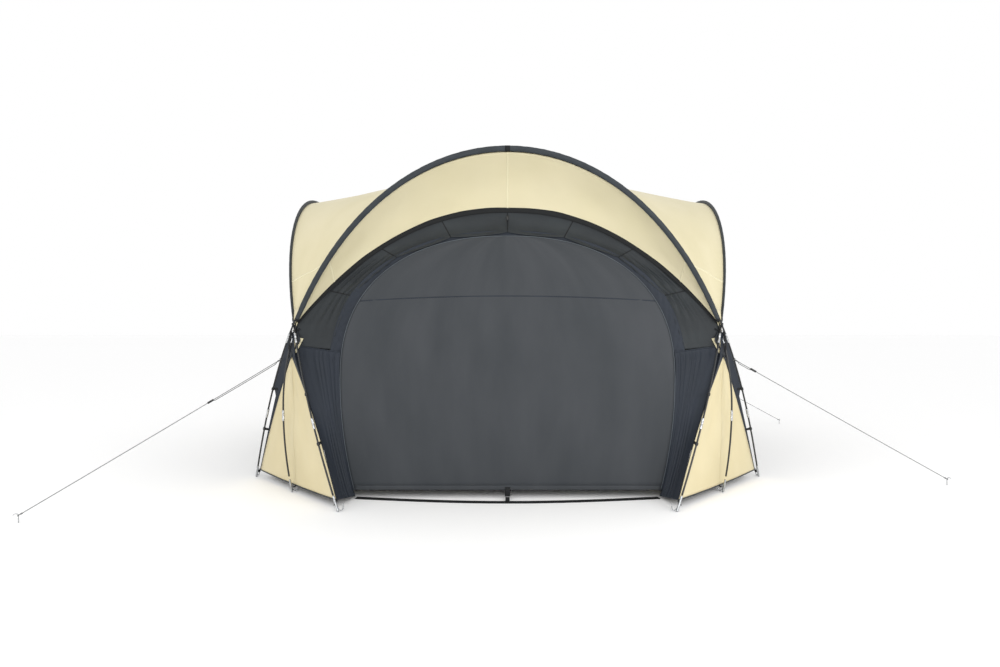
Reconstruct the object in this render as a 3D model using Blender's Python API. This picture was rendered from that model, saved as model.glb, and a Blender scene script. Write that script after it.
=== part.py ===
"""A free-standing dome shelter: four leaning arches, two crossed ridge poles and a cloth cabin.

Metres, +Z up, the ground at z = 0, the crown above the origin, the front wall facing -Y.
The shelter repeats every quarter turn, so each piece is shaped once, for the front side or
the front left corner, and placed four times.
"""
import math

import bpy
import bmesh
import numpy as np
from mathutils import Matrix, Vector

# Driving dimensions
BASE_WIDTH = 3.90            # between opposite arch feet, centre to centre
CROWN_HEIGHT = 2.55          # ground to the top of the upper ridge pole
ARCH_HEIGHT = 2.338          # ground to the axis of an arch at its top
ARCH_FOOT_LEAN = 22.0        # degrees from upright at which the unscaled arch leaves the ground
FOOT_SET_BACK = 1.073        # from the middle to the line between an arch's two feet
ARCH_LEAN = 0.4371           # outward lean of an arch, in metres for each metre of height
ARCH_LEAN_EASE = 0.0534      # how much that lean eases off with the height squared
ARCH_SHIFTS = (0.012, -0.007)   # front and back arches pass outside the side arches

RIDGE_CENTRE_HEIGHT = 0.62   # widest level of a ridge pole's ellipse
RIDGE_REACH = 2.2065         # from the middle out to the ridge pole at that level
RIDGE_DROP = 2.60            # vertical half axis of that ellipse below its widest level
RIDGE_STEP = 0.0135          # the lower ridge pole passes this far under the upper one

POLE_RADIUS = 0.006
POLE_SIDES = 8
FOOT_RADIUS = 0.0075
FOOT_HEIGHT = 0.09
PIN_RADIUS = 0.0033
PIN_START = 0.030            # height at which the wire hook leaves the foot
PIN_SHAPE = (                # how far inwards and how far up the J-shaped wire runs from there
    (0.0, 0.0), (0.010, -0.010), (0.020, -0.020), (0.030, -0.0235),
    (0.040, -0.016), (0.043, 0.0), (0.043, 0.022),
)
GAP = 0.0003

CLOTH_THICKNESS = 0.003
CLOTH_INSET = 0.020          # cloth lies this far inside the arch axes
CLOTH_UNDER_RIDGE = 0.0155   # cloth lies this far under the ridge poles' axes
SEAM_GAP = 0.003             # between the edges of two cloth panels
HEM_HEIGHT = 0.055
HUB_REACH = 1.51             # hub's distance from the middle, along X and along Y
HUB_HEIGHT = 1.16
GORE_REACH = 1.45
GORE_CROWN = 0.045           # most that the roof cloth stands above straight lines in Y

WALL_SET_BACK = 1.50         # visor edge's distance from the middle
WALL_LEAN = 0.0807           # the wall leans out this much for each metre down
VISOR_REACH = 1.465
VISOR_DROP = 0.008           # the visor's upper edge hangs this far under the gore's edge
VISOR_EDGE_RISE = 0.83       # from the hub up to the middle of the visor's edge
VISOR_EDGE_POWER = 2.2
SEAM_TOP = (-1.518, -1.518, 0.957)   # where both walls and the corner panel meet
SEAM_FOOT = (-1.095, -1.885, HEM_HEIGHT)   # lower end of the front wall's corner seam

DOOR_HALF_WIDTH = 1.158
DOOR_BELLY_HEIGHT = 0.85     # level at which the door is widest
DOOR_RISE = 0.955            # from that level to the door's top
DOOR_FOOT_NARROWING = 0.113
DOOR_POWER = 2.3

CORNER_TIP = 0.035           # width that is left at the corner panel's top
PATCH_BOTTOM = (2.154, 0.93)   # distance from the middle axis, and height
PATCH_TOP = (2.104, 1.16)
PATCH_SHOULDER = 0.62        # share of the way up at which the patch is widest
PATCH_HALF_WIDTH = 0.07
PATCH_THICKNESS = 0.003

STRAP_WIDTH = 0.050
STRAP_THICKNESS = 0.002
STRAP_REACH = 1.03           # half the ground strap's length, from the middle to a wall corner
STRAP_SET_OUT = 0.155        # the strap's middle lies this far in front of the visor's edge
STRAP_BOW = 0.10             # how far it bows out further at the door's middle

CORD_RADIUS = 0.0025
CORD_SAG = 0.002
CORD_POINTS = 18
GUY_HEIGHT = 0.93            # where the guy line leaves the arch leg
GUY_START = 0.018            # from the leg's axis to the end of the line
LOOP_DROP = 0.012            # the line's lower end lies this far under the peg's top
LOOP_SLACK = 0.003           # and this far from the peg's wire
PEG_RADIUS = 0.003
PEG_BEND = 0.014
PEG_HOOK_TURN = 150.0        # degrees that the peg's wire turns over
PEG_HEIGHT = 0.055
TENSIONER_LENGTH = 0.042
TENSIONER_HALF = (0.011, 0.0065)
TENSIONER_BORE = 0.0042

SIDES = ("front", "right", "back", "left")
CORNERS = ("front_left", "front_right", "back_right", "back_left")
PEG_PLACES = {
    "front_left": (-2.91, -2.15), "front_right": (3.23, -1.33),
    "back_right": (3.23, 1.33), "back_left": (-2.91, 2.15),
}
TENSIONER_PLACES = {         # share of the guy line's length from its upper end
    "front_left": 0.30, "front_right": 0.08, "back_right": 0.08, "back_left": 0.30,
}


# Materials

def make_material(name, colour, roughness, metallic=0.0):
    material = bpy.data.materials.new(name)
    material.use_nodes = True
    shader = material.node_tree.nodes["Principled BSDF"]
    shader.inputs["Base Color"].default_value = (*colour, 1.0)
    shader.inputs["Roughness"].default_value = roughness
    shader.inputs["Metallic"].default_value = metallic
    return material


def make_materials():
    return {
        "roof": make_material("tan_polyester", (0.76, 0.70, 0.47), 0.6),
        "wall": make_material("charcoal_polyester", (0.055, 0.065, 0.075), 0.6),
        "door": make_material("door_polyester", (0.09, 0.10, 0.11), 0.6),
        "patch": make_material("patch_polyester", (0.07, 0.075, 0.08), 0.7),
        "pole": make_material("black_glass_fibre", (0.012, 0.012, 0.013), 0.35),
        "steel": make_material("bright_steel", (0.62, 0.62, 0.63), 0.3, 1.0),
        "webbing": make_material("black_webbing", (0.02, 0.02, 0.022), 0.8),
        "cord": make_material("grey_cord", (0.27, 0.27, 0.27), 0.7),
        "plastic": make_material("black_plastic", (0.015, 0.015, 0.016), 0.45),
    }


# Curves of the frame

def bent_rod(count):
    """Half an arch from foot to top: distance from the middle and height, both from 0 to 1.

    The rod's heading from upright grows from the foot lean to a right angle as a quarter cosine,
    as in a springy rod that is bent most at its top.
    """
    steps = np.linspace(0.0, 1.0, 401)
    lean = math.radians(ARCH_FOOT_LEAN)
    heading = lean + (math.pi / 2 - lean) * (1 - np.cos(steps * math.pi / 2))
    middle = (heading[1:] + heading[:-1]) / 2
    across = np.concatenate(([0.0], np.cumsum(np.sin(middle))))
    up = np.concatenate(([0.0], np.cumsum(np.cos(middle))))
    wanted = np.linspace(0.0, 1.0, count)
    return (np.interp(wanted, steps, 1 - across / across[-1]),
            np.interp(wanted, steps, up / up[-1]))


ROD_ACROSS, ROD_UP = bent_rod(201)


def arch_half_width(height):
    return BASE_WIDTH / 2 * np.interp(height / ARCH_HEIGHT, ROD_UP, ROD_ACROSS)


def arch_height(half_width):
    share = np.abs(half_width) / (BASE_WIDTH / 2)
    return ARCH_HEIGHT * np.interp(share, ROD_ACROSS[::-1], ROD_UP[::-1])


def arch_depth(height):
    """Distance of an arch from the middle of the shelter, measured square to its own side."""
    return FOOT_SET_BACK + ARCH_LEAN * height - ARCH_LEAN_EASE * height ** 2


def arch_axis(shift, bottom, half_count=17):
    """The front arch from its left foot to its right foot."""
    across, up = bent_rod(half_count)
    height = np.maximum(up * ARCH_HEIGHT, 0.0)
    height[0] = bottom
    left = np.stack((-arch_half_width(height), -(arch_depth(height) + shift), height), axis=1)
    left[-1, 0] = 0.0
    right = left[-2::-1] * (-1, 1, 1)
    return np.concatenate((left, right))


def ridge_height(reach, across, rise):
    return RIDGE_CENTRE_HEIGHT + rise * np.sqrt(np.maximum(1 - (reach / across) ** 2, 0))


def ridge_rise(step):
    return CROWN_HEIGHT - POLE_RADIUS - RIDGE_CENTRE_HEIGHT - step * RIDGE_STEP


def ridge_axis(step, bottom, count=37):
    """A ridge pole in the vertical plane of X, from -X to +X."""
    rise = ridge_rise(step)
    start = math.asin((bottom - RIDGE_CENTRE_HEIGHT) / RIDGE_DROP)
    angles = np.linspace(start, math.pi - start, count)
    reach = -RIDGE_REACH * np.cos(angles)
    half_axis = np.where(np.sin(angles) < 0, RIDGE_DROP, rise)
    height = RIDGE_CENTRE_HEIGHT + half_axis * np.sin(angles)
    return np.stack((reach, np.zeros(count), height), axis=1)


# Mesh helpers

def new_object(name, mesh, material, origin=(0, 0, 0), turn=0.0):
    """Place a mesh that is drawn about the shelter's middle, with its own origin at a point."""
    origin = Vector(origin)
    mesh.transform(Matrix.Translation(-origin))
    mesh.materials.clear()
    mesh.materials.append(material)
    mesh.shade_smooth()
    mesh.set_sharp_from_angle(angle=math.radians(35))
    shape = bpy.data.objects.new(name, mesh)
    bpy.context.scene.collection.objects.link(shape)
    shape.location = Matrix.Rotation(turn, 3, "Z") @ origin
    shape.rotation_euler = (0, 0, turn)
    return shape


def mesh_from(points, faces):
    mesh = bpy.data.meshes.new("shape")
    mesh.from_pydata([tuple(point) for point in points], [], faces)
    shell = bmesh.new()
    shell.from_mesh(mesh)
    bmesh.ops.recalc_face_normals(shell, faces=shell.faces)
    shell.to_mesh(mesh)
    shell.free()
    return mesh


def grid_faces(rows, columns):
    return [(r * columns + c, r * columns + c + 1, (r + 1) * columns + c + 1, (r + 1) * columns + c)
            for r in range(rows - 1) for c in range(columns - 1)]


def cloth_mesh(grid, thickness=CLOTH_THICKNESS):
    """A closed sheet: a grid of points thickened half to each side along its own normals."""
    rows, columns, _ = grid.shape
    along = np.gradient(grid, axis=0)
    across = np.gradient(grid, axis=1)
    normal = np.cross(along, across)
    normal /= np.linalg.norm(normal, axis=2, keepdims=True)
    upper = (grid + normal * thickness / 2).reshape(-1, 3)
    lower = (grid - normal * thickness / 2).reshape(-1, 3)
    count = rows * columns
    faces = grid_faces(rows, columns)
    faces += [tuple(index + count for index in face[::-1]) for face in faces]
    rim = [c for c in range(columns)]
    rim += [r * columns + columns - 1 for r in range(1, rows)]
    rim += [(rows - 1) * columns + c for c in range(columns - 2, -1, -1)]
    rim += [r * columns for r in range(rows - 2, 0, -1)]
    for a, b in zip(rim, rim[1:] + rim[:1]):
        faces.append((a, b, b + count, a + count))
    return mesh_from(np.concatenate((upper, lower)), faces)


def tube_mesh(path, radius, sides=POLE_SIDES, level_ends=False):
    """A round bar along a path, its ends square to the path or cut level."""
    path = np.asarray(path, dtype=float)
    tangents = np.gradient(path, axis=0)
    tangents /= np.linalg.norm(tangents, axis=1, keepdims=True)
    side = Vector(tangents[0]).orthogonal().normalized()
    rings = []
    for point, tangent in zip(path, tangents):
        tangent = Vector(tangent)
        side = (side - tangent * side.dot(tangent)).normalized()
        other = tangent.cross(side)
        rings.append([Vector(point) + radius * (math.cos(a) * side + math.sin(a) * other)
                      for a in np.arange(sides) * math.tau / sides])
    if level_ends:
        for ring, point, tangent in ((rings[0], path[0], tangents[0]),
                                     (rings[-1], path[-1], tangents[-1])):
            for corner in ring:
                corner += Vector(tangent) * (point[2] - corner.z) / tangent[2]
    points = [corner for ring in rings for corner in ring]
    faces = [(r * sides + s, r * sides + (s + 1) % sides,
              (r + 1) * sides + (s + 1) % sides, (r + 1) * sides + s)
             for r in range(len(path) - 1) for s in range(sides)]
    faces += [tuple(range(sides)), tuple(range(len(points) - sides, len(points)))]
    return mesh_from(points, faces)


# Cloth

def front_gore():
    """Roof between the front arch and the two ridge poles: lines in Y that crown near the ridges.

    The crown is a share squared times the rest, largest two thirds of the way in.
    """
    across = np.linspace(-GORE_REACH, GORE_REACH, 21)
    share = np.linspace(0.0, 1.0, 5)
    outer_z = arch_height(across) - CLOTH_INSET / 2
    outer_y = -(arch_depth(outer_z) - CLOTH_INSET)
    inner_y = -(np.abs(across) + SEAM_GAP)
    inner_z = ridge_height(np.abs(across) * math.sqrt(2), RIDGE_REACH - CLOTH_UNDER_RIDGE,
                           ridge_rise(1) - CLOTH_UNDER_RIDGE)
    crown = GORE_CROWN * 27 / 4 * (1 - (across / GORE_REACH) ** 2)
    grid = np.empty((len(share), len(across), 3))
    for row, part in enumerate(share):
        grid[row, :, 0] = across
        grid[row, :, 1] = outer_y + (inner_y - outer_y) * part
        grid[row, :, 2] = outer_z + (inner_z - outer_z) * part + part ** 2 * (1 - part) * crown
    return cloth_mesh(grid)


def visor_edge_height(across):
    return HUB_HEIGHT + VISOR_EDGE_RISE * (1 - np.abs(across / HUB_REACH) ** VISOR_EDGE_POWER)


def front_visor():
    """Cloth from the front arch down and back to the curved edge above the door."""
    across = np.linspace(-VISOR_REACH, VISOR_REACH, 21)
    outer_z = arch_height(across) - CLOTH_INSET / 2 - VISOR_DROP
    outer_y = -(arch_depth(outer_z) - CLOTH_INSET)
    inner_z = visor_edge_height(across) + SEAM_GAP
    grid = np.empty((3, len(across), 3))
    for row, part in enumerate((0.0, 0.5, 1.0)):
        grid[row, :, 0] = across
        grid[row, :, 1] = outer_y + (-WALL_SET_BACK - outer_y) * part
        grid[row, :, 2] = outer_z + (inner_z - outer_z) * part
    return cloth_mesh(grid)


def wall_depth(height):
    top = HUB_HEIGHT + VISOR_EDGE_RISE
    return WALL_SET_BACK + WALL_LEAN * (top - height)


def door_outline(spread=0.0, lower=6, upper=10):
    """Left half of the door's outline, hem to top: a bulged side and then part of a superellipse."""
    rise = np.linspace(HEM_HEIGHT, DOOR_BELLY_HEIGHT, lower)
    drop = (DOOR_BELLY_HEIGHT - rise) / (DOOR_BELLY_HEIGHT - HEM_HEIGHT)
    side = DOOR_HALF_WIDTH - DOOR_FOOT_NARROWING * drop ** 2
    angle = np.linspace(0.0, math.pi / 2, upper + 1)[1:]
    power = 2 / DOOR_POWER
    top_x = DOOR_HALF_WIDTH * np.abs(np.cos(angle)) ** power
    top_x[-1] = 0.0
    top_z = DOOR_BELLY_HEIGHT + DOOR_RISE * np.sin(angle) ** power
    half = np.stack((np.concatenate((side, top_x)), np.concatenate((rise, top_z))), axis=1)
    half[:, 0] += spread * (half[:, 0] > 0)
    half[lower:, 1] += spread * np.sin(angle)
    return half


def whole_outline(half):
    """Mirror the left half across the middle: left hem corner, over the top, right hem corner."""
    left = half * (-1, 1)
    return np.concatenate((left, half[-2::-1]))


def hinge_point():
    top = DOOR_BELLY_HEIGHT + DOOR_RISE
    return (0.0, -wall_depth(top), top)


def front_door():
    """The arched door: nested copies of its outline about its middle."""
    outline = whole_outline(door_outline())
    centre = np.array((0.0, DOOR_BELLY_HEIGHT))
    flat = [centre[None, :]] + [centre + (outline - centre) * share for share in (0.5, 1.0)]
    points = np.concatenate(flat)
    depth = wall_depth(points[:, 1])
    skin = np.stack((points[:, 0], -depth, points[:, 1]), axis=1)
    count, ring = len(skin), len(outline)
    faces = [(0, 1 + i, 1 + (i + 1) % ring) for i in range(ring)]
    faces += [(1 + i, 1 + ring + i, 1 + ring + (i + 1) % ring, 1 + (i + 1) % ring)
              for i in range(ring)]
    faces += [tuple(index + count for index in face[::-1]) for face in faces]
    faces += [(1 + ring + i, 1 + ring + (i + 1) % ring, 1 + ring + (i + 1) % ring + count,
               1 + ring + i + count) for i in range(ring)]
    half = np.array((0.0, CLOTH_THICKNESS / 2, 0.0))
    return mesh_from(np.concatenate((skin - half, skin + half)), faces)


def seam_line(rows):
    """Corner seam of the front wall at the front left corner, from the hem to the seam's top."""
    share = np.linspace(0.0, 1.0, rows)[:, None]
    return np.array(SEAM_FOOT) + (np.array(SEAM_TOP) - np.array(SEAM_FOOT)) * share


def front_frame():
    """Cloth between the legs, the visor's edge and the door: a wing, an arched band, a wing."""
    inner_half = door_outline(spread=SEAM_GAP)
    lower = 6
    inner = np.stack((-inner_half[:, 0], -wall_depth(inner_half[:, 1]), inner_half[:, 1]), axis=1)
    wing = seam_line(lower) + np.array((SEAM_GAP, 0.0, 0.0))
    angle = np.linspace(0.0, math.pi / 2, len(inner) - lower + 1)[1:]
    across = VISOR_REACH * np.cos(angle)
    band = np.stack((-across, np.full(len(across), -WALL_SET_BACK),
                     visor_edge_height(across) - SEAM_GAP), axis=1)
    outer = np.concatenate((wing, band))
    share = np.array((0.0, 0.5, 1.0))[:, None, None]
    half = outer[None] + (inner - outer)[None] * share
    return cloth_mesh(np.concatenate((half, half[:, -2::-1] * (-1, 1, 1)), axis=1))


def corner_panel():
    """Cloth across the front left corner, a tall triangle between two corner seams."""
    near = seam_line(7)
    far = near[:, [1, 0, 2]]
    centre = (near + far) / 2
    half = (near - far) / 2
    length = np.linalg.norm(half, axis=1, keepdims=True)
    half = half / np.maximum(length, SEAM_GAP) * np.maximum(length - 2 * SEAM_GAP, 0)
    sideways = np.array((1.0, -1.0, 0.0)) / math.sqrt(2)
    half[-1] = sideways * CORNER_TIP / 2
    centre[-1, 2] -= CORNER_TIP * 2
    share = np.linspace(-1.0, 1.0, 5)[None, :, None]
    return cloth_mesh(centre[:, None] + half[:, None] * share)


def hub_patch():
    """A kite of stiff cloth over the place where the two walls and the corner panel meet."""
    share = np.array((0.0, PATCH_SHOULDER / 2, PATCH_SHOULDER, 1.0))
    width = np.array((0.10, 0.55, 1.0, 0.10)) * PATCH_HALF_WIDTH
    reach = PATCH_BOTTOM[0] + (PATCH_TOP[0] - PATCH_BOTTOM[0]) * share
    height = PATCH_BOTTOM[1] + (PATCH_TOP[1] - PATCH_BOTTOM[1]) * share
    across = np.array((-1.0, 0.0, 1.0))[None, :] * width[:, None]
    x = (-reach[:, None] + across) / math.sqrt(2)
    y = (-reach[:, None] - across) / math.sqrt(2)
    return cloth_mesh(np.stack((x, y, np.broadcast_to(height[:, None], x.shape)), axis=-1),
                      PATCH_THICKNESS)


# Frame, feet and fastenings

def pin_path(axis, inward):
    """The wire hook beside a foot: from the foot's axis inwards, and up into a J."""
    shape = np.array(PIN_SHAPE)
    start = axis[0] + (axis[1] - axis[0]) * (PIN_START / FOOT_HEIGHT)
    return start + np.outer(shape[:, 0], (*inward, 0.0)) + np.outer(shape[:, 1], (0.0, 0.0, 1.0))


def add_foot(name, axis, inward, materials, turn):
    """A steel end with a flat sole, and the wire hook that its webbing tab is held on."""
    mesh = tube_mesh(axis, FOOT_RADIUS, sides=10, level_ends=True)
    foot = new_object(name, mesh, materials["steel"], tuple(axis[0]), turn)
    pin_mesh = tube_mesh(pin_path(axis, inward), PIN_RADIUS, sides=6)
    pin = new_object(name + "_pin", pin_mesh, materials["steel"], tuple(axis[0]), turn)
    pin.hide_render = True
    pin.display_type = "WIRE"
    union = foot.modifiers.new("pin", "BOOLEAN")
    union.operation = "UNION"
    union.object = pin


def end_of(line, height):
    """The first stretch of an axis, from the ground up to a level."""
    low, high = line[0], line[1]
    top = low + (high - low) * (height - low[2]) / (high[2] - low[2])
    return np.stack((low, top))


def add_arch(k, materials):
    turn = k * math.pi / 2
    shift = ARCH_SHIFTS[k % 2]
    pole = arch_axis(shift, FOOT_HEIGHT + GAP)
    new_object(f"arch_pole_{SIDES[k]}", tube_mesh(pole, POLE_RADIUS, level_ends=True),
               materials["pole"], (0, 0, 0), turn)
    height = np.array((0.0, FOOT_HEIGHT))
    left = np.stack((-arch_half_width(height), -(arch_depth(height) + shift), height), axis=1)
    for name, axis in (("left", left), ("right", left * (-1, 1, 1))):
        add_foot(f"foot_{SIDES[k]}_arch_{name}", axis, (0.0, 1.0), materials, turn)


def add_ridge(step, materials):
    turn = math.pi / 4 + step * math.pi / 2
    pole = ridge_axis(step, FOOT_HEIGHT + GAP)
    name = ("ridge_pole_upper", "ridge_pole_lower")[step]
    new_object(name, tube_mesh(pole, POLE_RADIUS, level_ends=True), materials["pole"],
               (0, 0, 0), turn)
    whole = ridge_axis(step, 0.0, count=120)
    for end, axis in ((0, end_of(whole, FOOT_HEIGHT)), (1, end_of(whole[::-1], FOOT_HEIGHT))):
        inward = (-np.sign(axis[0][0]), 0.0)
        corner = CORNERS[(step + 2 * end) % 4]
        add_foot(f"foot_ridge_{corner}", axis, inward, materials, turn)


def front_strap():
    """Flat webbing on the ground past the door, from one wall corner to the other, bowed out."""
    across = np.linspace(-STRAP_REACH, STRAP_REACH, 17)
    bow = STRAP_BOW * np.cos(across / STRAP_REACH * math.pi / 2)
    depth = -(WALL_SET_BACK + STRAP_SET_OUT + bow)
    slope = np.gradient(depth, across)
    sideways = np.stack((-slope, np.ones(17), np.zeros(17)), axis=1)
    sideways /= np.linalg.norm(sideways, axis=1, keepdims=True)
    line = np.stack((across, depth, np.full(17, GAP + STRAP_THICKNESS / 2)), axis=1)
    grid = np.stack((line - sideways * STRAP_WIDTH / 2, line + sideways * STRAP_WIDTH / 2))
    return cloth_mesh(grid, STRAP_THICKNESS)


def guy_ends(corner):
    """Upper end beside the arch leg, and lower end beside the peg's hook."""
    place = PEG_PLACES[corner]
    side_x, side_y = np.sign(place[0]), np.sign(place[1])
    height = GUY_HEIGHT
    depth = arch_depth(height) + ARCH_SHIFTS[0]
    leg = np.array((side_x * arch_half_width(height), side_y * depth, height))
    peg = np.array((*place, PEG_HEIGHT - LOOP_DROP))
    along = (peg - leg) / np.linalg.norm(peg - leg)
    return leg + along * GUY_START, peg - along * (PEG_RADIUS + LOOP_SLACK)


def guy_point(corner, share):
    upper, lower = guy_ends(corner)
    point = upper + (lower - upper) * share
    point[2] -= 4 * CORD_SAG * share * (1 - share)
    return point


def add_guy_line(corner, materials):
    route = bpy.data.curves.new("route", "CURVE")
    route.dimensions = "3D"
    route.bevel_depth = CORD_RADIUS
    route.bevel_resolution = 2
    route.use_fill_caps = True
    route.resolution_u = 1
    route.render_resolution_u = 0
    spline = route.splines.new("POLY")
    spline.points.add(CORD_POINTS - 1)
    for i, point in enumerate(spline.points):
        point.co = (*guy_point(corner, i / (CORD_POINTS - 1)), 1.0)
    route.materials.append(materials["cord"])
    line = bpy.data.objects.new(f"guy_line_{corner}", route)
    bpy.context.scene.collection.objects.link(line)


def rounded_rectangle(half, angles):
    power = 0.5
    return [(half[0] * math.copysign(abs(math.cos(a)) ** power, math.cos(a)),
             half[1] * math.copysign(abs(math.sin(a)) ** power, math.sin(a))) for a in angles]


def tensioner_mesh():
    """A slider drawn along Z with a bore for the line, square ended and round sided."""
    sides = 16
    angles = np.arange(sides) * math.tau / sides
    outer = rounded_rectangle(TENSIONER_HALF, angles)
    inner = [(TENSIONER_BORE * math.cos(a), TENSIONER_BORE * math.sin(a)) for a in angles]
    points = []
    for level in (-TENSIONER_LENGTH / 2, TENSIONER_LENGTH / 2):
        points += [(x, y, level) for x, y in outer] + [(x, y, level) for x, y in inner]
    faces = []
    for s in range(sides):
        t = (s + 1) % sides
        faces.append((s, t, 2 * sides + t, 2 * sides + s))
        faces.append((sides + s, 3 * sides + s, 3 * sides + t, sides + t))
        faces.append((s, sides + s, sides + t, t))
        faces.append((2 * sides + s, 2 * sides + t, 3 * sides + t, 3 * sides + s))
    return mesh_from(points, faces)


def add_tensioner(corner, materials):
    share = TENSIONER_PLACES[corner]
    step = 0.01
    along = Vector(guy_point(corner, share + step) - guy_point(corner, share - step)).normalized()
    slider = new_object(f"tensioner_{corner}", tensioner_mesh(), materials["plastic"])
    slider.rotation_mode = "QUATERNION"
    slider.rotation_quaternion = along.to_track_quat("Z", "Y")
    slider.location = guy_point(corner, share)


def add_peg(corner, materials):
    """The part of a wire peg that stands above the ground: a stem that turns over into a hook."""
    place = np.array((*PEG_PLACES[corner], 0.0))
    outward = np.array((*np.sign(PEG_PLACES[corner]), 0.0)) / math.sqrt(2)
    angles = np.linspace(0.0, math.radians(PEG_HOOK_TURN), 7)
    stem = np.linspace(0.0, PEG_HEIGHT - PEG_BEND, 4)[:-1]
    reach = np.concatenate((0 * stem, PEG_BEND * (1 - np.cos(angles))))
    rise = np.concatenate((stem, PEG_HEIGHT - PEG_BEND + PEG_BEND * np.sin(angles)))
    path = place + outward * reach[:, None] + np.array((0.0, 0.0, 1.0)) * rise[:, None]
    new_object(f"peg_{corner}", tube_mesh(path, PEG_RADIUS, sides=8), materials["steel"])


def add_side(k, materials):
    turn = k * math.pi / 2
    side = SIDES[k]
    new_object(f"roof_gore_{side}", front_gore(), materials["roof"], (0, 0, 0), turn)
    new_object(f"visor_{side}", front_visor(), materials["roof"], (0, 0, 0), turn)
    new_object(f"wall_frame_{side}", front_frame(), materials["wall"], (0, 0, 0), turn)
    new_object(f"door_{side}", front_door(), materials["door"], hinge_point(), turn)
    new_object(f"ground_strap_{side}", front_strap(), materials["webbing"], (0, 0, 0), turn)


def add_corner(k, materials):
    turn = k * math.pi / 2
    corner = CORNERS[k]
    new_object(f"corner_panel_{corner}", corner_panel(), materials["roof"], (0, 0, 0), turn)
    new_object(f"hub_patch_{corner}", hub_patch(), materials["patch"], (0, 0, 0), turn)
    add_guy_line(corner, materials)
    add_tensioner(corner, materials)
    add_peg(corner, materials)


def build():
    for old in list(bpy.data.objects):
        bpy.data.objects.remove(old, do_unlink=True)
    materials = make_materials()
    for k in range(4):
        add_arch(k, materials)
        add_side(k, materials)
        add_corner(k, materials)
    for step in range(2):
        add_ridge(step, materials)


build()
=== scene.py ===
from math import pi, radians

import bmesh
import bpy
import numpy as np
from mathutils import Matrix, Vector


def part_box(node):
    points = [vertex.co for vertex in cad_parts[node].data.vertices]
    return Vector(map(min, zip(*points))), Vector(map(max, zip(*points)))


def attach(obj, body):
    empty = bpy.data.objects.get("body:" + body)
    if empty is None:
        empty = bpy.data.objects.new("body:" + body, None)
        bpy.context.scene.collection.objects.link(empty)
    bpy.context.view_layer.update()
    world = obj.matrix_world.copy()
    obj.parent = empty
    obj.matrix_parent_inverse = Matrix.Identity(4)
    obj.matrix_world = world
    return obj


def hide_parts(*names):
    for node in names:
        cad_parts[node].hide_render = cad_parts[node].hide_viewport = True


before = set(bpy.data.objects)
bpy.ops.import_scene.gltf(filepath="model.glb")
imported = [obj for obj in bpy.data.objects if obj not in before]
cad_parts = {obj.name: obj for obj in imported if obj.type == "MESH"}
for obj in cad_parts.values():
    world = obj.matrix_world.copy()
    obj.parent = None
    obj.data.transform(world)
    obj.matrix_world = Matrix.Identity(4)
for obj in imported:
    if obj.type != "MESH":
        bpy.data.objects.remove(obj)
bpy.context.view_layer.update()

sides = ("front", "right", "back", "left")
corners = ("front_left", "front_right", "back_right", "back_left")


# camera: eye height of a person a few steps in front of the door
view = dict(distance=5.638, height=1.178, lens=21.1, shiftX=-0.0075, shiftY=-0.0089)
cameraData = bpy.data.cameras.new("camera")
cameraData.lens = view["lens"]
cameraData.shift_x = view["shiftX"]
cameraData.shift_y = view["shiftY"]
cameraData.clip_end = 200
camera = bpy.data.objects.new("camera", cameraData)
camera.location = (0, -view["distance"], view["height"])
camera.rotation_euler = (pi / 2, 0, 0)
bpy.context.scene.collection.objects.link(camera)
bpy.context.scene.camera = camera


# node helpers

def toLinear(hexCode, alpha=1.0):
    # sRGB hex to the linear colour that shaders use
    parts = np.array([int(hexCode[i:i + 2], 16) for i in (1, 3, 5)]) / 255
    linear = np.where(parts <= 0.04045, parts / 12.92, ((parts + 0.055) / 1.055) ** 2.4)
    return (*linear.tolist(), alpha)


def connect(tree, node, inputs):
    # each input takes a link from a socket, or a fixed value
    for key, value in inputs.items():
        if isinstance(value, bpy.types.NodeSocket):
            tree.links.new(value, node.inputs[key])
        else:
            node.inputs[key].default_value = value


def addNode(tree, kind, inputs=None, stops=None, **settings):
    # one node with its settings, its fixed inputs and its incoming links
    node = tree.nodes.new(kind)
    for name, value in settings.items():
        setattr(node, name, value)
    connect(tree, node, inputs or {})
    if stops:
        ramp = node.color_ramp
        while len(ramp.elements) < len(stops):
            ramp.elements.new(0.5)
        for element, (place, colour) in zip(ramp.elements, stops):
            element.position = place
            element.color = colour
    return node


def newMaterial(name):
    material = bpy.data.materials.new(name)
    material.use_nodes = True
    tree = material.node_tree
    return material, tree, tree.nodes["Principled BSDF"]


def waveScale(stripeMm):
    # a wave is 2 pi / 20 units long at scale 1, so each light or dark half is about stripeMm wide
    return 1000 / stripeMm / (2 * pi)


# materials

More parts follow.
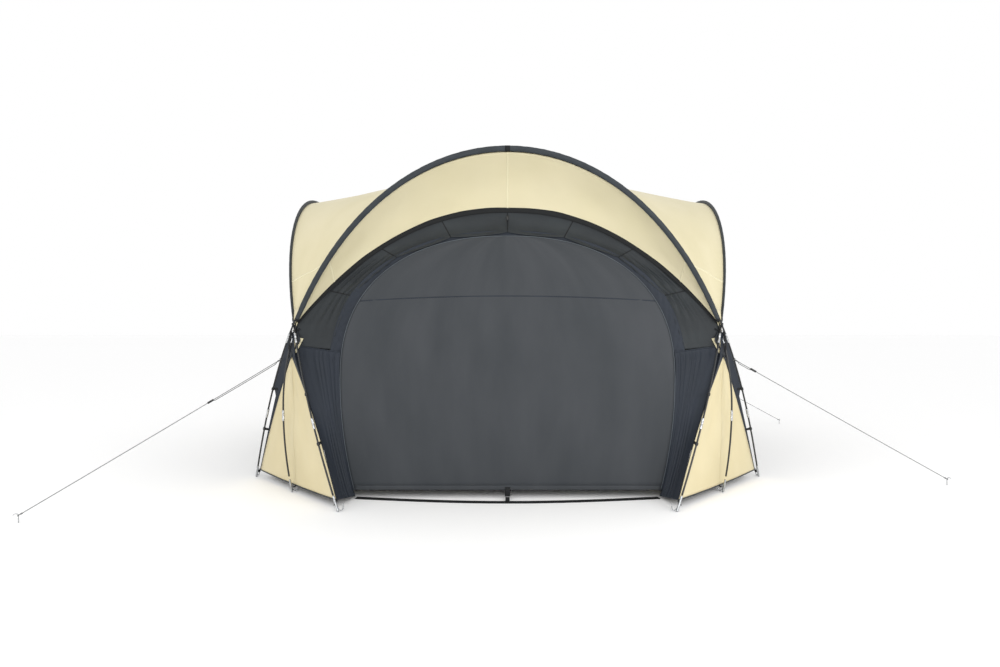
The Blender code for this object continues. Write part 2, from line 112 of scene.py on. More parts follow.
def polyester(name, hexCode, darker, foldDepth, foldScale=(2.0, 2.0), roughness=0.62, sheen=0.2,
              weaveMm=3.0, specular=0.5):
    # PU-coated polyester taffeta: flat matt colour with a hint of sheen, a fine plain weave and
    # soft slack folds. The real thread spacing is about 0.3 mm; the threads are drawn weaveMm wide
    # with gaps as wide, so that they show as a faint tooth. foldScale is folds per metre across
    # and along the cloth.
    material, tree, shader = newMaterial(name)
    uv = addNode(tree, "ShaderNodeTexCoord").outputs["UV"]
    stretched = addNode(tree, "ShaderNodeMapping", {"Vector": uv, "Scale": (*foldScale, 1.0)})
    along = stretched.outputs["Vector"]
    cloud = addNode(tree, "ShaderNodeTexNoise", {"Vector": along, "Scale": 1.3, "Detail": 4.0})
    fleck = addNode(tree, "ShaderNodeTexNoise", {"Vector": uv, "Scale": 300.0, "Detail": 2.0})
    both = addNode(tree, "ShaderNodeMath", {0: fleck.outputs["Fac"], 1: 0.25,
                                            2: cloud.outputs["Fac"]}, operation="MULTIPLY_ADD")
    colour = addNode(tree, "ShaderNodeValToRGB", {"Fac": both.outputs[0]},
                     stops=((0.45, toLinear(darker)), (0.80, toLinear(hexCode))))
    threads = [addNode(tree, "ShaderNodeTexWave",
                       {"Vector": uv, "Scale": waveScale(weaveMm), "Distortion": 0.3},
                       bands_direction=direction).outputs["Fac"] for direction in ("X", "Y")]
    weave = addNode(tree, "ShaderNodeMath", {0: threads[0], 1: threads[1]}, operation="MULTIPLY")
    tooth = addNode(tree, "ShaderNodeBump", {"Strength": 0.12, "Distance": 0.0004,
                                             "Height": weave.outputs[0]})
    slack = addNode(tree, "ShaderNodeTexNoise", {"Vector": along, "Scale": 1.0, "Detail": 3.0,
                                                 "Roughness": 0.45, "Distortion": 0.4})
    folds = addNode(tree, "ShaderNodeBump", {"Strength": 0.6, "Distance": foldDepth,
                                             "Height": slack.outputs["Fac"],
                                             "Normal": tooth.outputs["Normal"]})
    # a rough weave shades itself, so the dark cloths take less than the full surface reflection
    connect(tree, shader, {"Base Color": colour.outputs["Color"], "Normal": folds.outputs["Normal"],
                           "Roughness": roughness, "IOR": 1.46, "Specular IOR Level": specular,
                           "Sheen Weight": sheen, "Sheen Roughness": 0.5})
    return material


def webbing(name, hexCode, ribMm=3.0):
    # woven polyester webbing: dull, ribbed across its length, drawn with coarse ribs ribMm wide
    material, tree, shader = newMaterial(name)
    uv = addNode(tree, "ShaderNodeTexCoord").outputs["UV"]
    ribs = addNode(tree, "ShaderNodeTexWave", {"Vector": uv, "Scale": waveScale(ribMm)},
                   wave_type="BANDS", bands_direction="X")
    fuzz = addNode(tree, "ShaderNodeTexNoise", {"Vector": uv, "Scale": 400.0})
    colour = addNode(tree, "ShaderNodeMix", {"Factor": fuzz.outputs["Fac"],
                                             "A": toLinear("#0E0F10"), "B": toLinear(hexCode)},
                     data_type="RGBA")
    bump = addNode(tree, "ShaderNodeBump", {"Strength": 0.6, "Distance": 0.0006,
                                            "Height": ribs.outputs["Fac"]})
    connect(tree, shader, {"Base Color": colour.outputs["Result"], "Normal": bump.outputs["Normal"],
                           "Roughness": 0.8, "Specular IOR Level": 0.3})
    return material


def glassFibre():
    # pultruded glass-fibre rod, black: smooth resin skin with faint streaks along it
    material, tree, shader = newMaterial("glassFibreBlack")
    uv = addNode(tree, "ShaderNodeTexCoord").outputs["UV"]
    stretched = addNode(tree, "ShaderNodeMapping", {"Vector": uv, "Scale": (3.0, 900.0, 1.0)})
    streaks = addNode(tree, "ShaderNodeTexNoise", {"Vector": stretched.outputs["Vector"],
                                                   "Scale": 1.0, "Detail": 3.0})
    tint = addNode(tree, "ShaderNodeValToRGB", {"Fac": streaks.outputs["Fac"]},
                   stops=((0.3, toLinear("#121314")), (0.8, toLinear("#26282A"))))
    connect(tree, shader, {"Base Color": tint.outputs["Color"], "Roughness": 0.35, "IOR": 1.52})
    return material


def galvanisedSteel(name, hexCode, roughness):
    # zinc-plated steel tube and wire: pale, brushed round, slightly cloudy
    material, tree, shader = newMaterial(name)
    where = addNode(tree, "ShaderNodeTexCoord").outputs["Object"]
    cloud = addNode(tree, "ShaderNodeTexNoise", {"Vector": where, "Scale": 90.0, "Detail": 4.0})
    tint = addNode(tree, "ShaderNodeValToRGB", {"Fac": cloud.outputs["Fac"]},
                   stops=((0.3, toLinear("#9A9C9E")), (0.7, toLinear(hexCode))))
    grain = addNode(tree, "ShaderNodeMapRange", {"Value": cloud.outputs["Fac"],
                                                 "To Min": roughness - 0.06,
                                                 "To Max": roughness + 0.1})
    connect(tree, shader, {"Base Color": tint.outputs["Color"],
                           "Roughness": grain.outputs["Result"], "Metallic": 1.0})
    return material


def braidedCord():
    # braided polyester guy line, 5 mm: matt, with crossing strands about 2 mm wide
    material, tree, shader = newMaterial("braidedCordGrey")
    uv = addNode(tree, "ShaderNodeTexCoord").outputs["UV"]
    turnedUv = addNode(tree, "ShaderNodeMapping", {"Vector": uv, "Rotation": (0, 0, 0.8)})
    ways = [addNode(tree, "ShaderNodeTexWave",
                    {"Vector": turnedUv.outputs["Vector"], "Scale": waveScale(2.122)},
                    bands_direction=direction).outputs["Fac"] for direction in ("X", "Y")]
    strands = addNode(tree, "ShaderNodeMath", {0: ways[0], 1: ways[1]}, operation="MAXIMUM")
    tint = addNode(tree, "ShaderNodeValToRGB", {"Fac": strands.outputs[0]},
                   stops=((0.2, toLinear("#4A4B4C")), (0.9, toLinear("#7A7B7C"))))
    bump = addNode(tree, "ShaderNodeBump", {"Strength": 0.5, "Distance": 0.0005,
                                            "Height": strands.outputs[0]})
    connect(tree, shader, {"Base Color": tint.outputs["Color"], "Normal": bump.outputs["Normal"],
                           "Roughness": 0.75})
    return material


def acetal():
    # moulded acetal, black: satin with a fine spark-eroded texture
    material, tree, shader = newMaterial("acetalBlack")
    where = addNode(tree, "ShaderNodeTexCoord").outputs["Object"]
    grain = addNode(tree, "ShaderNodeTexNoise", {"Vector": where, "Scale": 900.0, "Detail": 2.0})
    tint = addNode(tree, "ShaderNodeValToRGB", {"Fac": grain.outputs["Fac"]},
                   stops=((0.3, toLinear("#141516")), (0.7, toLinear("#1D1E20"))))
    bump = addNode(tree, "ShaderNodeBump", {"Strength": 0.3, "Distance": 0.0002,
                                            "Height": grain.outputs["Fac"]})
    connect(tree, shader, {"Base Color": tint.outputs["Color"], "Normal": bump.outputs["Normal"],
                           "Roughness": 0.45})
    return material


darkCloth = dict(sheen=0.06, specular=0.38)
finish = {
    "tan": polyester("coatedPolyesterTan", "#D3CAAA", "#CCC3A0", 0.008, (1.2, 1.2), sheen=0.1),
    "tanTape": polyester("seamTapeTan", "#DFD8B8", "#D8D0AE", 0.001, sheen=0.1),
    "tanCorner": polyester("cornerPolyesterTan", "#D4C8A3", "#CBBE96", 0.010, (3.0, 1.2), sheen=0.1),
    "charcoal": polyester("coatedPolyesterCharcoal", "#1F2631", "#192029", 0.014, (7.0, 1.4), **darkCloth),
    "band": polyester("bandPolyesterCharcoal", "#272C2F", "#202427", 0.008, (3.0, 3.0), **darkCloth),
    "door": polyester("coatedPolyesterDoor", "#373A3E", "#2E3236", 0.006, (3.5, 1.1), **darkCloth),
    "patch": polyester("reinforcementCloth", "#2B3036", "#24282D", 0.001, **darkCloth),
    "sleeve": polyester("sleeveClothCharcoal", "#2E3439", "#262B2F", 0.002, (9.0, 40.0), **darkCloth),
    "piping": polyester("pipingCordGrey", "#596067", "#4C5359", 0.0005, sheen=0.0),
    "tape": webbing("edgeTapeBlack", "#1E2022", 2.0),
    "web": webbing("webbingBlack", "#222426"),
    "pole": glassFibre(),
    "steel": galvanisedSteel("zincPlatedSteel", "#C4C6C8", 0.30),
    "ferrule": galvanisedSteel("nickelPlatedFerrule", "#DCDDDE", 0.25),
    "cord": braidedCord(),
    "plastic": acetal(),
}
print("materials made")


# mesh helpers

def turned(points, k):
    # quarter turns about the upright middle axis
    c, s = (1, 0, -1, 0)[k % 4], (0, 1, 0, -1)[k % 4]
    x, y, z = np.moveaxis(np.asarray(points, dtype=float), -1, 0)
    return np.stack((c * x - s * y, s * x + c * y, z), axis=-1)


def unit(vectors):
    return vectors / np.maximum(np.linalg.norm(vectors, axis=-1, keepdims=True), 1e-9)


def makeMesh(name, points, faces, faceUv, material, closed=False):
    mesh = bpy.data.meshes.new(name)
    mesh.from_pydata(points.reshape(-1, 3).tolist(), [], faces.tolist())
    layer = mesh.uv_layers.new(name="UVMap")
    layer.data.foreach_set("uv", faceUv.reshape(-1).astype(np.float32))
    piece = bpy.data.objects.new(name, mesh)
    bpy.context.scene.collection.objects.link(piece)
    mesh.materials.append(material)
    mesh.shade_smooth()
    if closed:
        shell = bmesh.new()
        shell.from_mesh(mesh)
        bmesh.ops.holes_fill(shell, edges=[e for e in shell.edges if e.is_boundary], sides=0)
        bmesh.ops.recalc_face_normals(shell, faces=shell.faces)
        shell.to_mesh(mesh)
        shell.free()
    return piece


def gridFaces(rows, columns, wrap=False):
    # quads of a grid, and each quad corner's row and column; a wrapped grid closes its columns
    wide = columns if wrap else columns - 1
    r, c = np.meshgrid(np.arange(rows - 1), np.arange(wide), indexing="ij")
    corners4 = [(r, c), (r, c + 1), (r + 1, c + 1), (r + 1, c)]
    rowOf = np.stack([a for a, _ in corners4], axis=-1).reshape(-1, 4)
    columnOf = np.stack([b for _, b in corners4], axis=-1).reshape(-1, 4)
    return rowOf * columns + columnOf % columns, rowOf, columnOf


def lengthsAlong(line):
    steps = np.linalg.norm(np.diff(line, axis=0), axis=1)
    return np.concatenate(([0.0], np.cumsum(steps)))


def thicken(piece, thickness):
    # a wall that lies half on each side of the surface
    solid = piece.modifiers.new("thickness", "SOLIDIFY")
    solid.thickness = thickness
    solid.offset = 0.0
    return piece


def belongs(pieces, body="shelter"):
    # the pieces move with a body
    for piece in pieces:
        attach(piece, body)


def cloth(name, grid, material, thickness=0.001):
    # a thin sheet on a grid of points; its UVs are metres along the middle row and column
    rows, columns, _ = grid.shape
    faces, rowOf, columnOf = gridFaces(rows, columns)
    v = lengthsAlong(grid[:, columns // 2])[rowOf]
    u = lengthsAlong(grid[rows // 2])[columnOf]
    return thicken(makeMesh(name, grid, faces, np.stack((u, v), axis=-1), material), thickness)


def pathFrames(path, up):
    # tangent, width and depth directions along a path; depth leans towards `up` (one or many)
    tangent = unit(np.gradient(path, axis=0))
    width = unit(np.cross(tangent, np.broadcast_to(up, path.shape)))
    return tangent, width, np.cross(width, tangent)


def tube(name, path, halfWidth, halfDepth, material, up=(0.0, 0.31, 0.95), ringCount=12):
    # an ellipse carried along a path; the two half sizes may change along it
    path = np.asarray(path, dtype=float)
    _, width, depth = pathFrames(path, up)
    angle = np.arange(ringCount) * 2 * pi / ringCount
    a = np.broadcast_to(halfWidth, len(path))[:, None, None]
    b = np.broadcast_to(halfDepth, len(path))[:, None, None]
    ring = (path[:, None] + a * np.cos(angle)[None, :, None] * width[:, None]
            + b * np.sin(angle)[None, :, None] * depth[:, None])
    faces, rowOf, columnOf = gridFaces(len(path), ringCount, wrap=True)
    girth = 2 * pi * float((np.mean(halfWidth) + np.mean(halfDepth)) / 2)
    faceUv = np.stack((lengthsAlong(path)[rowOf], columnOf * girth / ringCount), axis=-1)
    return makeMesh(name, ring, faces, faceUv, material, closed=True)


def strip(name, path, width, material, facing, thickness=0.0015):
    # a flat strap along a path, its face turned towards `facing`
    path = np.asarray(path, dtype=float)
    _, across, _ = pathFrames(path, facing)
    half = np.broadcast_to(width, len(path))[:, None, None] / 2
    grid = path[:, None] + half * np.linspace(-1.0, 1.0, 5)[None, :, None] * across[:, None]
    rows, columns, _ = grid.shape
    faces, rowOf, columnOf = gridFaces(rows, columns)
    u = lengthsAlong(path)[rowOf]
    v = columnOf * float(np.mean(width)) / (columns - 1)
    return thicken(makeMesh(name, grid, faces, np.stack((u, v), axis=-1), material), thickness)


def smoothPath(points, count):
    # a curve through given points (Catmull-Rom), evenly sampled
    p = np.asarray(points, dtype=float)
    p = np.concatenate((2 * p[:1] - p[1:2], p, 2 * p[-1:] - p[-2:-1]))
    spans = len(p) - 3
    t = np.linspace(0, spans, count)
    i = np.minimum(t.astype(int), spans - 1)
    f = (t - i)[:, None]
    a, b, c, d = p[i], p[i + 1], p[i + 2], p[i + 3]
    return 0.5 * (2 * b + (c - a) * f + (2 * a - 5 * b + 4 * c - d) * f ** 2
                  + (3 * b - a - 3 * c + d) * f ** 3)


def surfaceNormal(grid):
    return unit(np.cross(np.gradient(grid, axis=1), np.gradient(grid, axis=0)))


def lifted(grid, height):
    # move a grid along its own normals
    return grid + surfaceNormal(grid) * np.asarray(height)[..., None]


def evenly(path, count):
    # the same line, with its points an equal way apart
    length = lengthsAlong(path)
    wanted = np.linspace(0, length[-1], count)
    return np.stack([np.interp(wanted, length, path[:, axis]) for axis in range(3)], axis=-1)


def between(near, far, columns):
    # a ruled sheet: straight lines from each point of one edge to the other edge's
    part = np.linspace(0, 1, columns)[None, :, None]
    return near[:, None] + (far - near)[:, None] * part


# the frame's curves, as the poles run

shape = dict(
    halfSpan=1.95, archTop=2.338, footLean=22.0, setBack=1.073, lean=0.4371, leanEase=0.0534,
    archShift=(0.012, -0.007), ridgeCentre=0.62, ridgeReach=2.2065, ridgeDrop=2.60,
    ridgeStep=0.0135, poleRadius=0.006, footHeight=0.09,
    hemHeight=0.055, hubReach=1.51, hubHeight=1.16, wallSetBack=1.50, wallLean=0.0807,
    edgeRise=0.83, edgePower=2.2,
    doorHalf=1.158, doorBelly=0.85, doorRise=0.955, doorNarrow=0.113, doorPower=2.3,
)
shape["crown"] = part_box("ridge_pole_upper")[1][2] - shape["poleRadius"]


def bentRod():
    # heading from upright grows from the foot lean to a right angle as a quarter cosine
    steps = np.linspace(0, 1, 401)
    lean = radians(shape["footLean"])
    heading = lean + (pi / 2 - lean) * (1 - np.cos(steps * pi / 2))
    middle = (heading[1:] + heading[:-1]) / 2
    across = np.concatenate(([0.0], np.cumsum(np.sin(middle))))
    up = np.concatenate(([0.0], np.cumsum(np.cos(middle))))
    return 1 - across / across[-1], up / up[-1]


rodAcross, rodUp = bentRod()


def archHalfWidth(z):
    return shape["halfSpan"] * np.interp(z / shape["archTop"], rodUp, rodAcross)


def archHeight(x):
    return shape["archTop"] * np.interp(np.abs(x) / shape["halfSpan"], rodAcross[::-1], rodUp[::-1])


def archDepth(z):
    return shape["setBack"] + shape["lean"] * z - shape["leanEase"] * z ** 2


def ridgeHeight(reach, inset):
    rise = shape["crown"] - shape["ridgeStep"] - shape["ridgeCentre"] - inset
    return shape["ridgeCentre"] + rise * np.sqrt(
        np.maximum(1 - (reach / (shape["ridgeReach"] - inset)) ** 2, 0))


def archPath(k, start=0.0, count=180):
    # arch k's axis in the front side's place, from its left end over the top to its right end
    part = np.linspace(0, 1, count)
    z = shape["archTop"] * np.interp(part, np.linspace(0, 1, len(rodUp)), rodUp)
    z = np.concatenate(([start], z[z > start + 0.01]))
    x = archHalfWidth(z)
    x[-1] = 0.0
    left = np.stack((-x, -(archDepth(z) + shape["archShift"][k % 2]), z), axis=-1)
    return np.concatenate((left, left[-2::-1] * (-1, 1, 1)))


def ridgePath(step, start=0.0, count=240):
    # ridge pole in the upright plane through two opposite corners
    rise = shape["crown"] - step * shape["ridgeStep"] - shape["ridgeCentre"]
    low = np.arcsin((start - shape["ridgeCentre"]) / shape["ridgeDrop"])
    angle = np.linspace(low, pi - low, count)
    half = np.where(np.sin(angle) < 0, shape["ridgeDrop"], rise)
    reach = -shape["ridgeReach"] * np.cos(angle)
    turn = pi / 4 + step * pi / 2
    return np.stack((reach * np.cos(turn), reach * np.sin(turn),
                     shape["ridgeCentre"] + half * np.sin(angle)), axis=-1)


def edgeHeight(x):
    return shape["hubHeight"] + shape["edgeRise"] * (1 - np.abs(x / shape["hubReach"]) ** shape["edgePower"])


def wallDepth(z):
    return shape["wallSetBack"] + shape["wallLean"] * (shape["hubHeight"] + shape["edgeRise"] - z)


def doorHalfWidth(z):
    low = shape["doorHalf"] - shape["doorNarrow"] * np.clip(
        (shape["doorBelly"] - z) / (shape["doorBelly"] - shape["hemHeight"]), 0, 1) ** 2
    over = np.clip((z - shape["doorBelly"]) / shape["doorRise"], 0, 1)
    return low * (1 - over ** shape["doorPower"]) ** (1 / shape["doorPower"])


def rodLeg(z, side, shift):
    # a point of an arch's leg at the front left corner: the front arch's, or the left arch's
    across, out = archHalfWidth(z), archDepth(z) + shape["archShift"][shift]
    return np.stack((-across, -out, z) if side == "front" else (-out, -across, z), axis=-1)


def ripple(u, v, waves):
    # soft folds: a sum of slanted sine waves, each (height, cycles in u, cycles in v, phase)
    total = np.zeros(np.broadcast(u, v).shape)
    for height, inU, inV, phase in waves:
        total = total + height * np.sin(2 * pi * (inU * u + inV * v) + phase)
    return total


# guy lines, with their sliders and pegs; the routes are the CAD's own

guy = dict(diameter=0.005, sag=0.002, points=18, startHeight=0.93, startGap=0.018, pegHeight=0.055,
           pegRadius=0.003, pegDrop=0.012, pegGap=0.003, legLoop=0.0095, pegLoop=0.0062,
           knot=((-0.008, 0.014), (0.0065, 0.0055)), pegKnot=((0.002, 0.018), (0.0062, 0.0052)),
           strandGap=0.0098, strandEnds=(0.012, 0.013), strandTurns=(0.020, 0.010), strandSag=0.005)
pegPlaces = {"front_left": (-2.91, -2.15), "front_right": (3.23, -1.33),
             "back_right": (3.23, 1.33), "back_left": (-2.91, 2.15)}
sliderPlaces = {"front_left": 0.30, "front_right": 0.08, "back_right": 0.08, "back_left": 0.30}


def guyRoute(corner):
    x, y = pegPlaces[corner]
    z = guy["startHeight"]
    leg = np.array((np.sign(x) * archHalfWidth(z),
                    np.sign(y) * (archDepth(z) + shape["archShift"][0]), z))
    peg = np.array((x, y, guy["pegHeight"] - guy["pegDrop"]))
    along = unit(peg - leg)
    start, end = leg + along * guy["startGap"], peg - along * (guy["pegRadius"] + guy["pegGap"])
    share = np.linspace(0, 1, guy["points"])[:, None]
    route = start + (end - start) * share
    route[:, 2] -= (4 * guy["sag"] * share * (1 - share))[:, 0]
    return leg, peg, route


def knotOn(name, start, along, reach, size):
    # a spindle of turns on a cord: both half sizes swell and fall as half a sine wave
    swell = np.sin(np.linspace(0.5, pi - 0.5, 9))
    return tube(name, start + along * np.linspace(*reach, 9)[:, None], size[0] * swell,
                size[1] * swell, finish["cord"], ringCount=10)


def makeGuy(corner):
    leg, peg, route = guyRoute(corner)
    fine = smoothPath(route, 60)
    line = tube(f"guyLine_{corner}", fine, guy["diameter"] / 2, guy["diameter"] / 2,
                finish["cord"], ringCount=10)
    along = unit(fine[-1] - fine[0])
    # the loop round the leg with its knot, and the loop round the peg with its own
    angle = np.linspace(0, 2 * pi, 25)[:-1, None]
    legDirection = np.array((np.sign(leg[0]) * 0.45, -np.sign(leg[1]) * 0.31, -0.84))
    sideways = unit(np.cross(legDirection, along))
    toward = unit(np.cross(sideways, legDirection))
    ringPath = leg + guy["legLoop"] * (np.cos(angle) * toward + np.sin(angle) * sideways)
    loop = ringOf(f"guyLoop_{corner}", ringPath, guy["diameter"] / 2, finish["cord"])
    knot = knotOn(f"guyKnot_{corner}", fine[0], along, *guy["knot"])
    cross = unit(np.cross(along, (0, 0, 1)))
    pegRing = peg + guy["pegLoop"] * (np.cos(angle) * along + np.sin(angle) * cross)
    pegLoop = ringOf(f"guyPegLoop_{corner}", pegRing, guy["diameter"] / 2, finish["cord"])
    pegKnot = knotOn(f"guyPegKnot_{corner}", fine[-1], -along, *guy["pegKnot"])
    # the strand that comes back up from the slider to the knot
    share = sliderPlaces[corner]
    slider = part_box(f"tensioner_{corner}")
    middle = (np.array(slider[0]) + np.array(slider[1])) / 2
    part = np.linspace(0, 1, 60)[:, None]
    # it hangs under the line, clear of the slider, and turns up into it at its end
    under = unit(np.cross(along, cross)) * guy["strandGap"]
    (near, far), (down, up) = guy["strandEnds"], guy["strandTurns"]
    free = np.linalg.norm(middle - fine[0]) - near - far
    drop = np.clip(np.minimum(part * free / down, (1 - part) * free / up), 0, 1)
    back = fine[0] + along * (near + free * part) + under * drop
    back[:, 2] -= (4 * guy["strandSag"] * share * part * (1 - part))[:, 0]
    doubled = tube(f"guyReturn_{corner}", back, guy["diameter"] / 2, guy["diameter"] / 2,
                   finish["cord"], ringCount=10)
    belongs((line, loop, knot, pegLoop, pegKnot, doubled))
    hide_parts(f"guy_line_{corner}")


def ringOf(name, loopPath, radius, material, ringCount=8):
    # a round bar carried along a closed loop
    path = np.asarray(loopPath)
    tangent = unit(np.roll(path, -1, axis=0) - np.roll(path, 1, axis=0))
    normal = unit(np.cross(path[0] - path.mean(axis=0), path[len(path) // 4] - path.mean(axis=0)))
    across = np.cross(tangent, normal)
    angle = np.arange(ringCount) * 2 * pi / ringCount
    ring = path[:, None] + radius * (np.cos(angle)[None, :, None] * across[:, None]
                                     + np.sin(angle)[None, :, None] * normal[None, None])
    ring = np.concatenate((ring, ring[:1]))
    faces, rowOf, columnOf = gridFaces(len(ring), ringCount, wrap=True)
    faces = faces % (len(path) * ringCount)
    length = np.linspace(0, float(lengthsAlong(np.concatenate((path, path[:1])))[-1]), len(ring))
    faceUv = np.stack((length[rowOf], columnOf * 2 * pi * radius / ringCount), axis=-1)
    return makeMesh(name, ring[:-1], faces, faceUv, material, closed=True)


for cornerName in corners:
    makeGuy(cornerName)
print("guy lines made")


# roof gores: lines in Y from the arch to the ridge poles that crown a little near the ridges,
# with soft folds that run from the hubs and die out at the edges, and a seam near each hub

roof = dict(sewnUnder=0.020, sewnBehind=0.008, underRidge=0.0155, seam=0.003, reach=1.490, crown=0.045,
            columns=141, rows=41, crowding=0.86, seams=(-1.31, 1.31), seamWidth=0.010,
            folds=((0.0030, 3.2, 0.6, 0.4), (0.0022, 5.1, -1.3, 1.7), (0.0014, 8.3, 1.9, 0.9)))


def crowded(sheet):
    # places across a sheet that crowd towards its ends as a sine
    turn = pi / 2 * sheet["crowding"]
    return sheet["reach"] * np.sin(np.linspace(-turn, turn, sheet["columns"])) / np.sin(turn)


def goreGrid():
    x = crowded(roof)
    part = np.linspace(0, 1, roof["rows"])[:, None]
    outerZ = archHeight(x) - roof["sewnUnder"]
    outerY = -(archDepth(outerZ) - roof["sewnBehind"])
    innerY = -(np.abs(x) + roof["seam"])
    innerZ = ridgeHeight(np.abs(x) * np.sqrt(2), roof["underRidge"])
    crown = roof["crown"] * 27 / 4 * (1 - (x / roof["reach"]) ** 2)
    y = outerY + (innerY - outerY) * part
    z = outerZ + (innerZ - outerZ) * part + part ** 2 * (1 - part) * crown
    grid = np.stack((np.broadcast_to(x, z.shape), y, z), axis=-1)
    fade = np.sin(pi * part) ** 0.7 * (1 - np.abs(x / roof["reach"]) ** 6)
    return lifted(grid, ripple(x / 2.9, part, roof["folds"]) * fade)


def crossSeams(name, grid, k, places, width):
    # narrow tapes over a tan sheet along some of its columns
    for index, place in enumerate(places):
        band = seamColumns(grid, place, width)
        belongs([cloth(f"{name}_{index}", turned(band, k), finish["tanTape"], 0.0028)])


def seamColumns(grid, place, width):
    # a narrow band of a grid along one column, found by its x in each row
    wanted = np.linspace(place - width / 2, place + width / 2, 3)
    return np.stack([np.stack([np.interp(wanted, row[:, 0], row[:, axis]) for axis in range(3)], axis=-1)
                     for row in grid])


def makeGores():
    grid = goreGrid()
    for k, side in enumerate(sides):
        gore = cloth(f"roofGore_{side}", turned(grid, k), finish["tan"])
        belongs([gore])
        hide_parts(f"roof_gore_{side}")
        crossSeams(f"goreSeam_{side}", grid, k, roof["seams"], roof["seamWidth"])


makeGores()
print("roof gores made")


# visors: from the arch down and back to the curved edge, in three panels with flat-felled seams

visor = dict(drop=0.008, columns=161, rows=25, crowding=0.8, reach=1.490, belly=0.03,
             seams=(-1.22, 0.0, 1.22), seamWidth=0.010,
             folds=((0.0025, 4.0, 0.7, 0.3), (0.0015, 7.0, -0.8, 2.1), (0.0008, 13.0, 0.5, 1.2)))


def visorGrid():
    x = crowded(visor)
    part = np.linspace(0, 1, visor["rows"])[:, None]
    outerZ = archHeight(x) - roof["sewnUnder"] - visor["drop"]
    outerY = -(archDepth(outerZ) - roof["sewnBehind"])
    innerZ = edgeHeight(x) + 0.003
    y = outerY + (-shape["wallSetBack"] - outerY) * part
    z = outerZ + (innerZ - outerZ) * part
    grid = np.stack((np.broadcast_to(x, z.shape), y, z), axis=-1)
    inward = visor["belly"] * np.sin(pi * part) * (1 - (x / visor["reach"]) ** 2)
    fade = np.sin(pi * part) ** 0.6 * (1 - np.abs(x / visor["reach"]) ** 8)
    return grid + np.stack((0 * inward, inward, 0.3 * inward), axis=-1) \
        + surfaceNormal(grid) * (ripple(x / 3.0, part, visor["folds"]) * fade)[..., None]


def makeVisors():
    grid = visorGrid()
    for k, side in enumerate(sides):
        piece = cloth(f"visorPanel_{side}", turned(grid, k), finish["tan"])
        belongs([piece])
        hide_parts(f"visor_{side}")
        crossSeams(f"visorSeam_{side}", grid, k, visor["seams"], visor["seamWidth"])


makeVisors()
print("visors made")


# the dark band between the visor's edge and the door: pieces joined by radial seams, each a
# little slack; and the wings below it, gathered at their top seam, down to the feet

band = dict(pieces=8, columns=241, rows=21, slack=0.010, hollow=0.018, seamWidth=0.007,
            doorGap=0.004, cornerGap=0.020, shoulderGap=0.058, hub=(-1.513, -1.513, 1.030),
            visorEnd=1.485, doorEnd=0.988, tipThickness=0.0015,
            wrinkle=0.0125, tip=((-1.496, -1.524, 1.092), (-1.434, -1.518, 1.080),
                                 (-1.500, -1.534, 1.030), (-1.481, -1.536, 0.975)))
wing = dict(rows=91, columns=61, seamTop=(-1.518, -1.518, 0.957), seamFoot=(-1.095, -1.885, 0.055),
            bow=0.020, groundCorner=(-1.035, -1.650, 0.012), hollow=0.012,
            folds=((0.30, 0.050, 0.005), (0.47, 0.030, 0.008), (0.60, 0.022, 0.010),
                   (0.70, 0.018, 0.012), (0.79, 0.020, 0.011), (0.90, 0.022, 0.013)))


def doorEdge(low, high, gap, count=60):
    # left side of the door's edge, between two levels, from the upper one down
    z = np.linspace(high, low, count)
    side = doorHalfWidth(z - gap * np.clip((z - 1.3) / 0.5, 0, 1)) + gap
    return np.stack((-side, -wallDepth(z), z), axis=-1)


def doorTopEdge(gap, count=120):
    # the same from the top's middle down to the belly: a quarter of a superellipse
    angle = np.linspace(pi / 2, 0, count)
    power = 2 / shape["doorPower"]
    x = -(shape["doorHalf"] + gap) * np.cos(angle) ** power
    z = shape["doorBelly"] + (shape["doorRise"] + gap) * np.sin(angle) ** power
    x[0] = 0.0
    return np.stack((x, -wallDepth(z), z), axis=-1)


def bandGrid():
    x = -band["visorEnd"] * np.sin(np.linspace(0, pi / 2, 120))
    edge = np.stack((x, np.full(len(x), -shape["wallSetBack"]), edgeHeight(x) - 0.003), axis=-1)
    outer = evenly(np.concatenate((edge, [band["hub"]])), band["columns"] // 2 + 1)
    inner = doorTopEdge(band["doorGap"])
    inner = evenly(inner[inner[:, 2] >= band["doorEnd"]], band["columns"] // 2 + 1)
    # straight between the seams: the gap to the door grows towards each seam as a parabola
    # and it widens over the shoulders, where the wing's cloth runs up beside the door
    share = np.linspace(0, 1, len(inner))[:, None]
    gap = band["cornerGap"] * (2 * (share * band["pieces"] / 2 % 1) - 1) ** 2 \
        + band["shoulderGap"] * np.clip((share - 0.35) / 0.45, 0, 1) ** 1.5
    inner = inner + unit(outer - inner) * gap
    half = between(inner, outer, band["rows"]).transpose(1, 0, 2)
    grid = np.concatenate((half[:, ::-1], half[:, 1:] * (-1, 1, 1)), axis=1)
    part = np.linspace(0, 1, band["rows"])[:, None]
    t = np.linspace(-1, 1, band["columns"])[None]
    puff = np.abs(np.sin(pi * (t + 1) / 2 * band["pieces"])) ** 0.6
    across = np.sin(pi * part)
    shoulder = np.exp(-((np.abs(t) - 0.72) / 0.16) ** 2)
    wrinkle = np.sin(2 * pi * (4.4 * part + 2.6 * np.abs(t)) + 0.8 * np.sin(9 * t)) \
        + 0.6 * np.sin(2 * pi * (5.3 * part - 1.7 * np.abs(t)) + 1.1)
    grid[..., 1] += band["hollow"] * across * (1 - t ** 12) + band["slack"] * puff * across ** 0.8 \
        - band["wrinkle"] * wrinkle * across ** 0.5 * shoulder * (1 - 0.6 * part)
    return grid


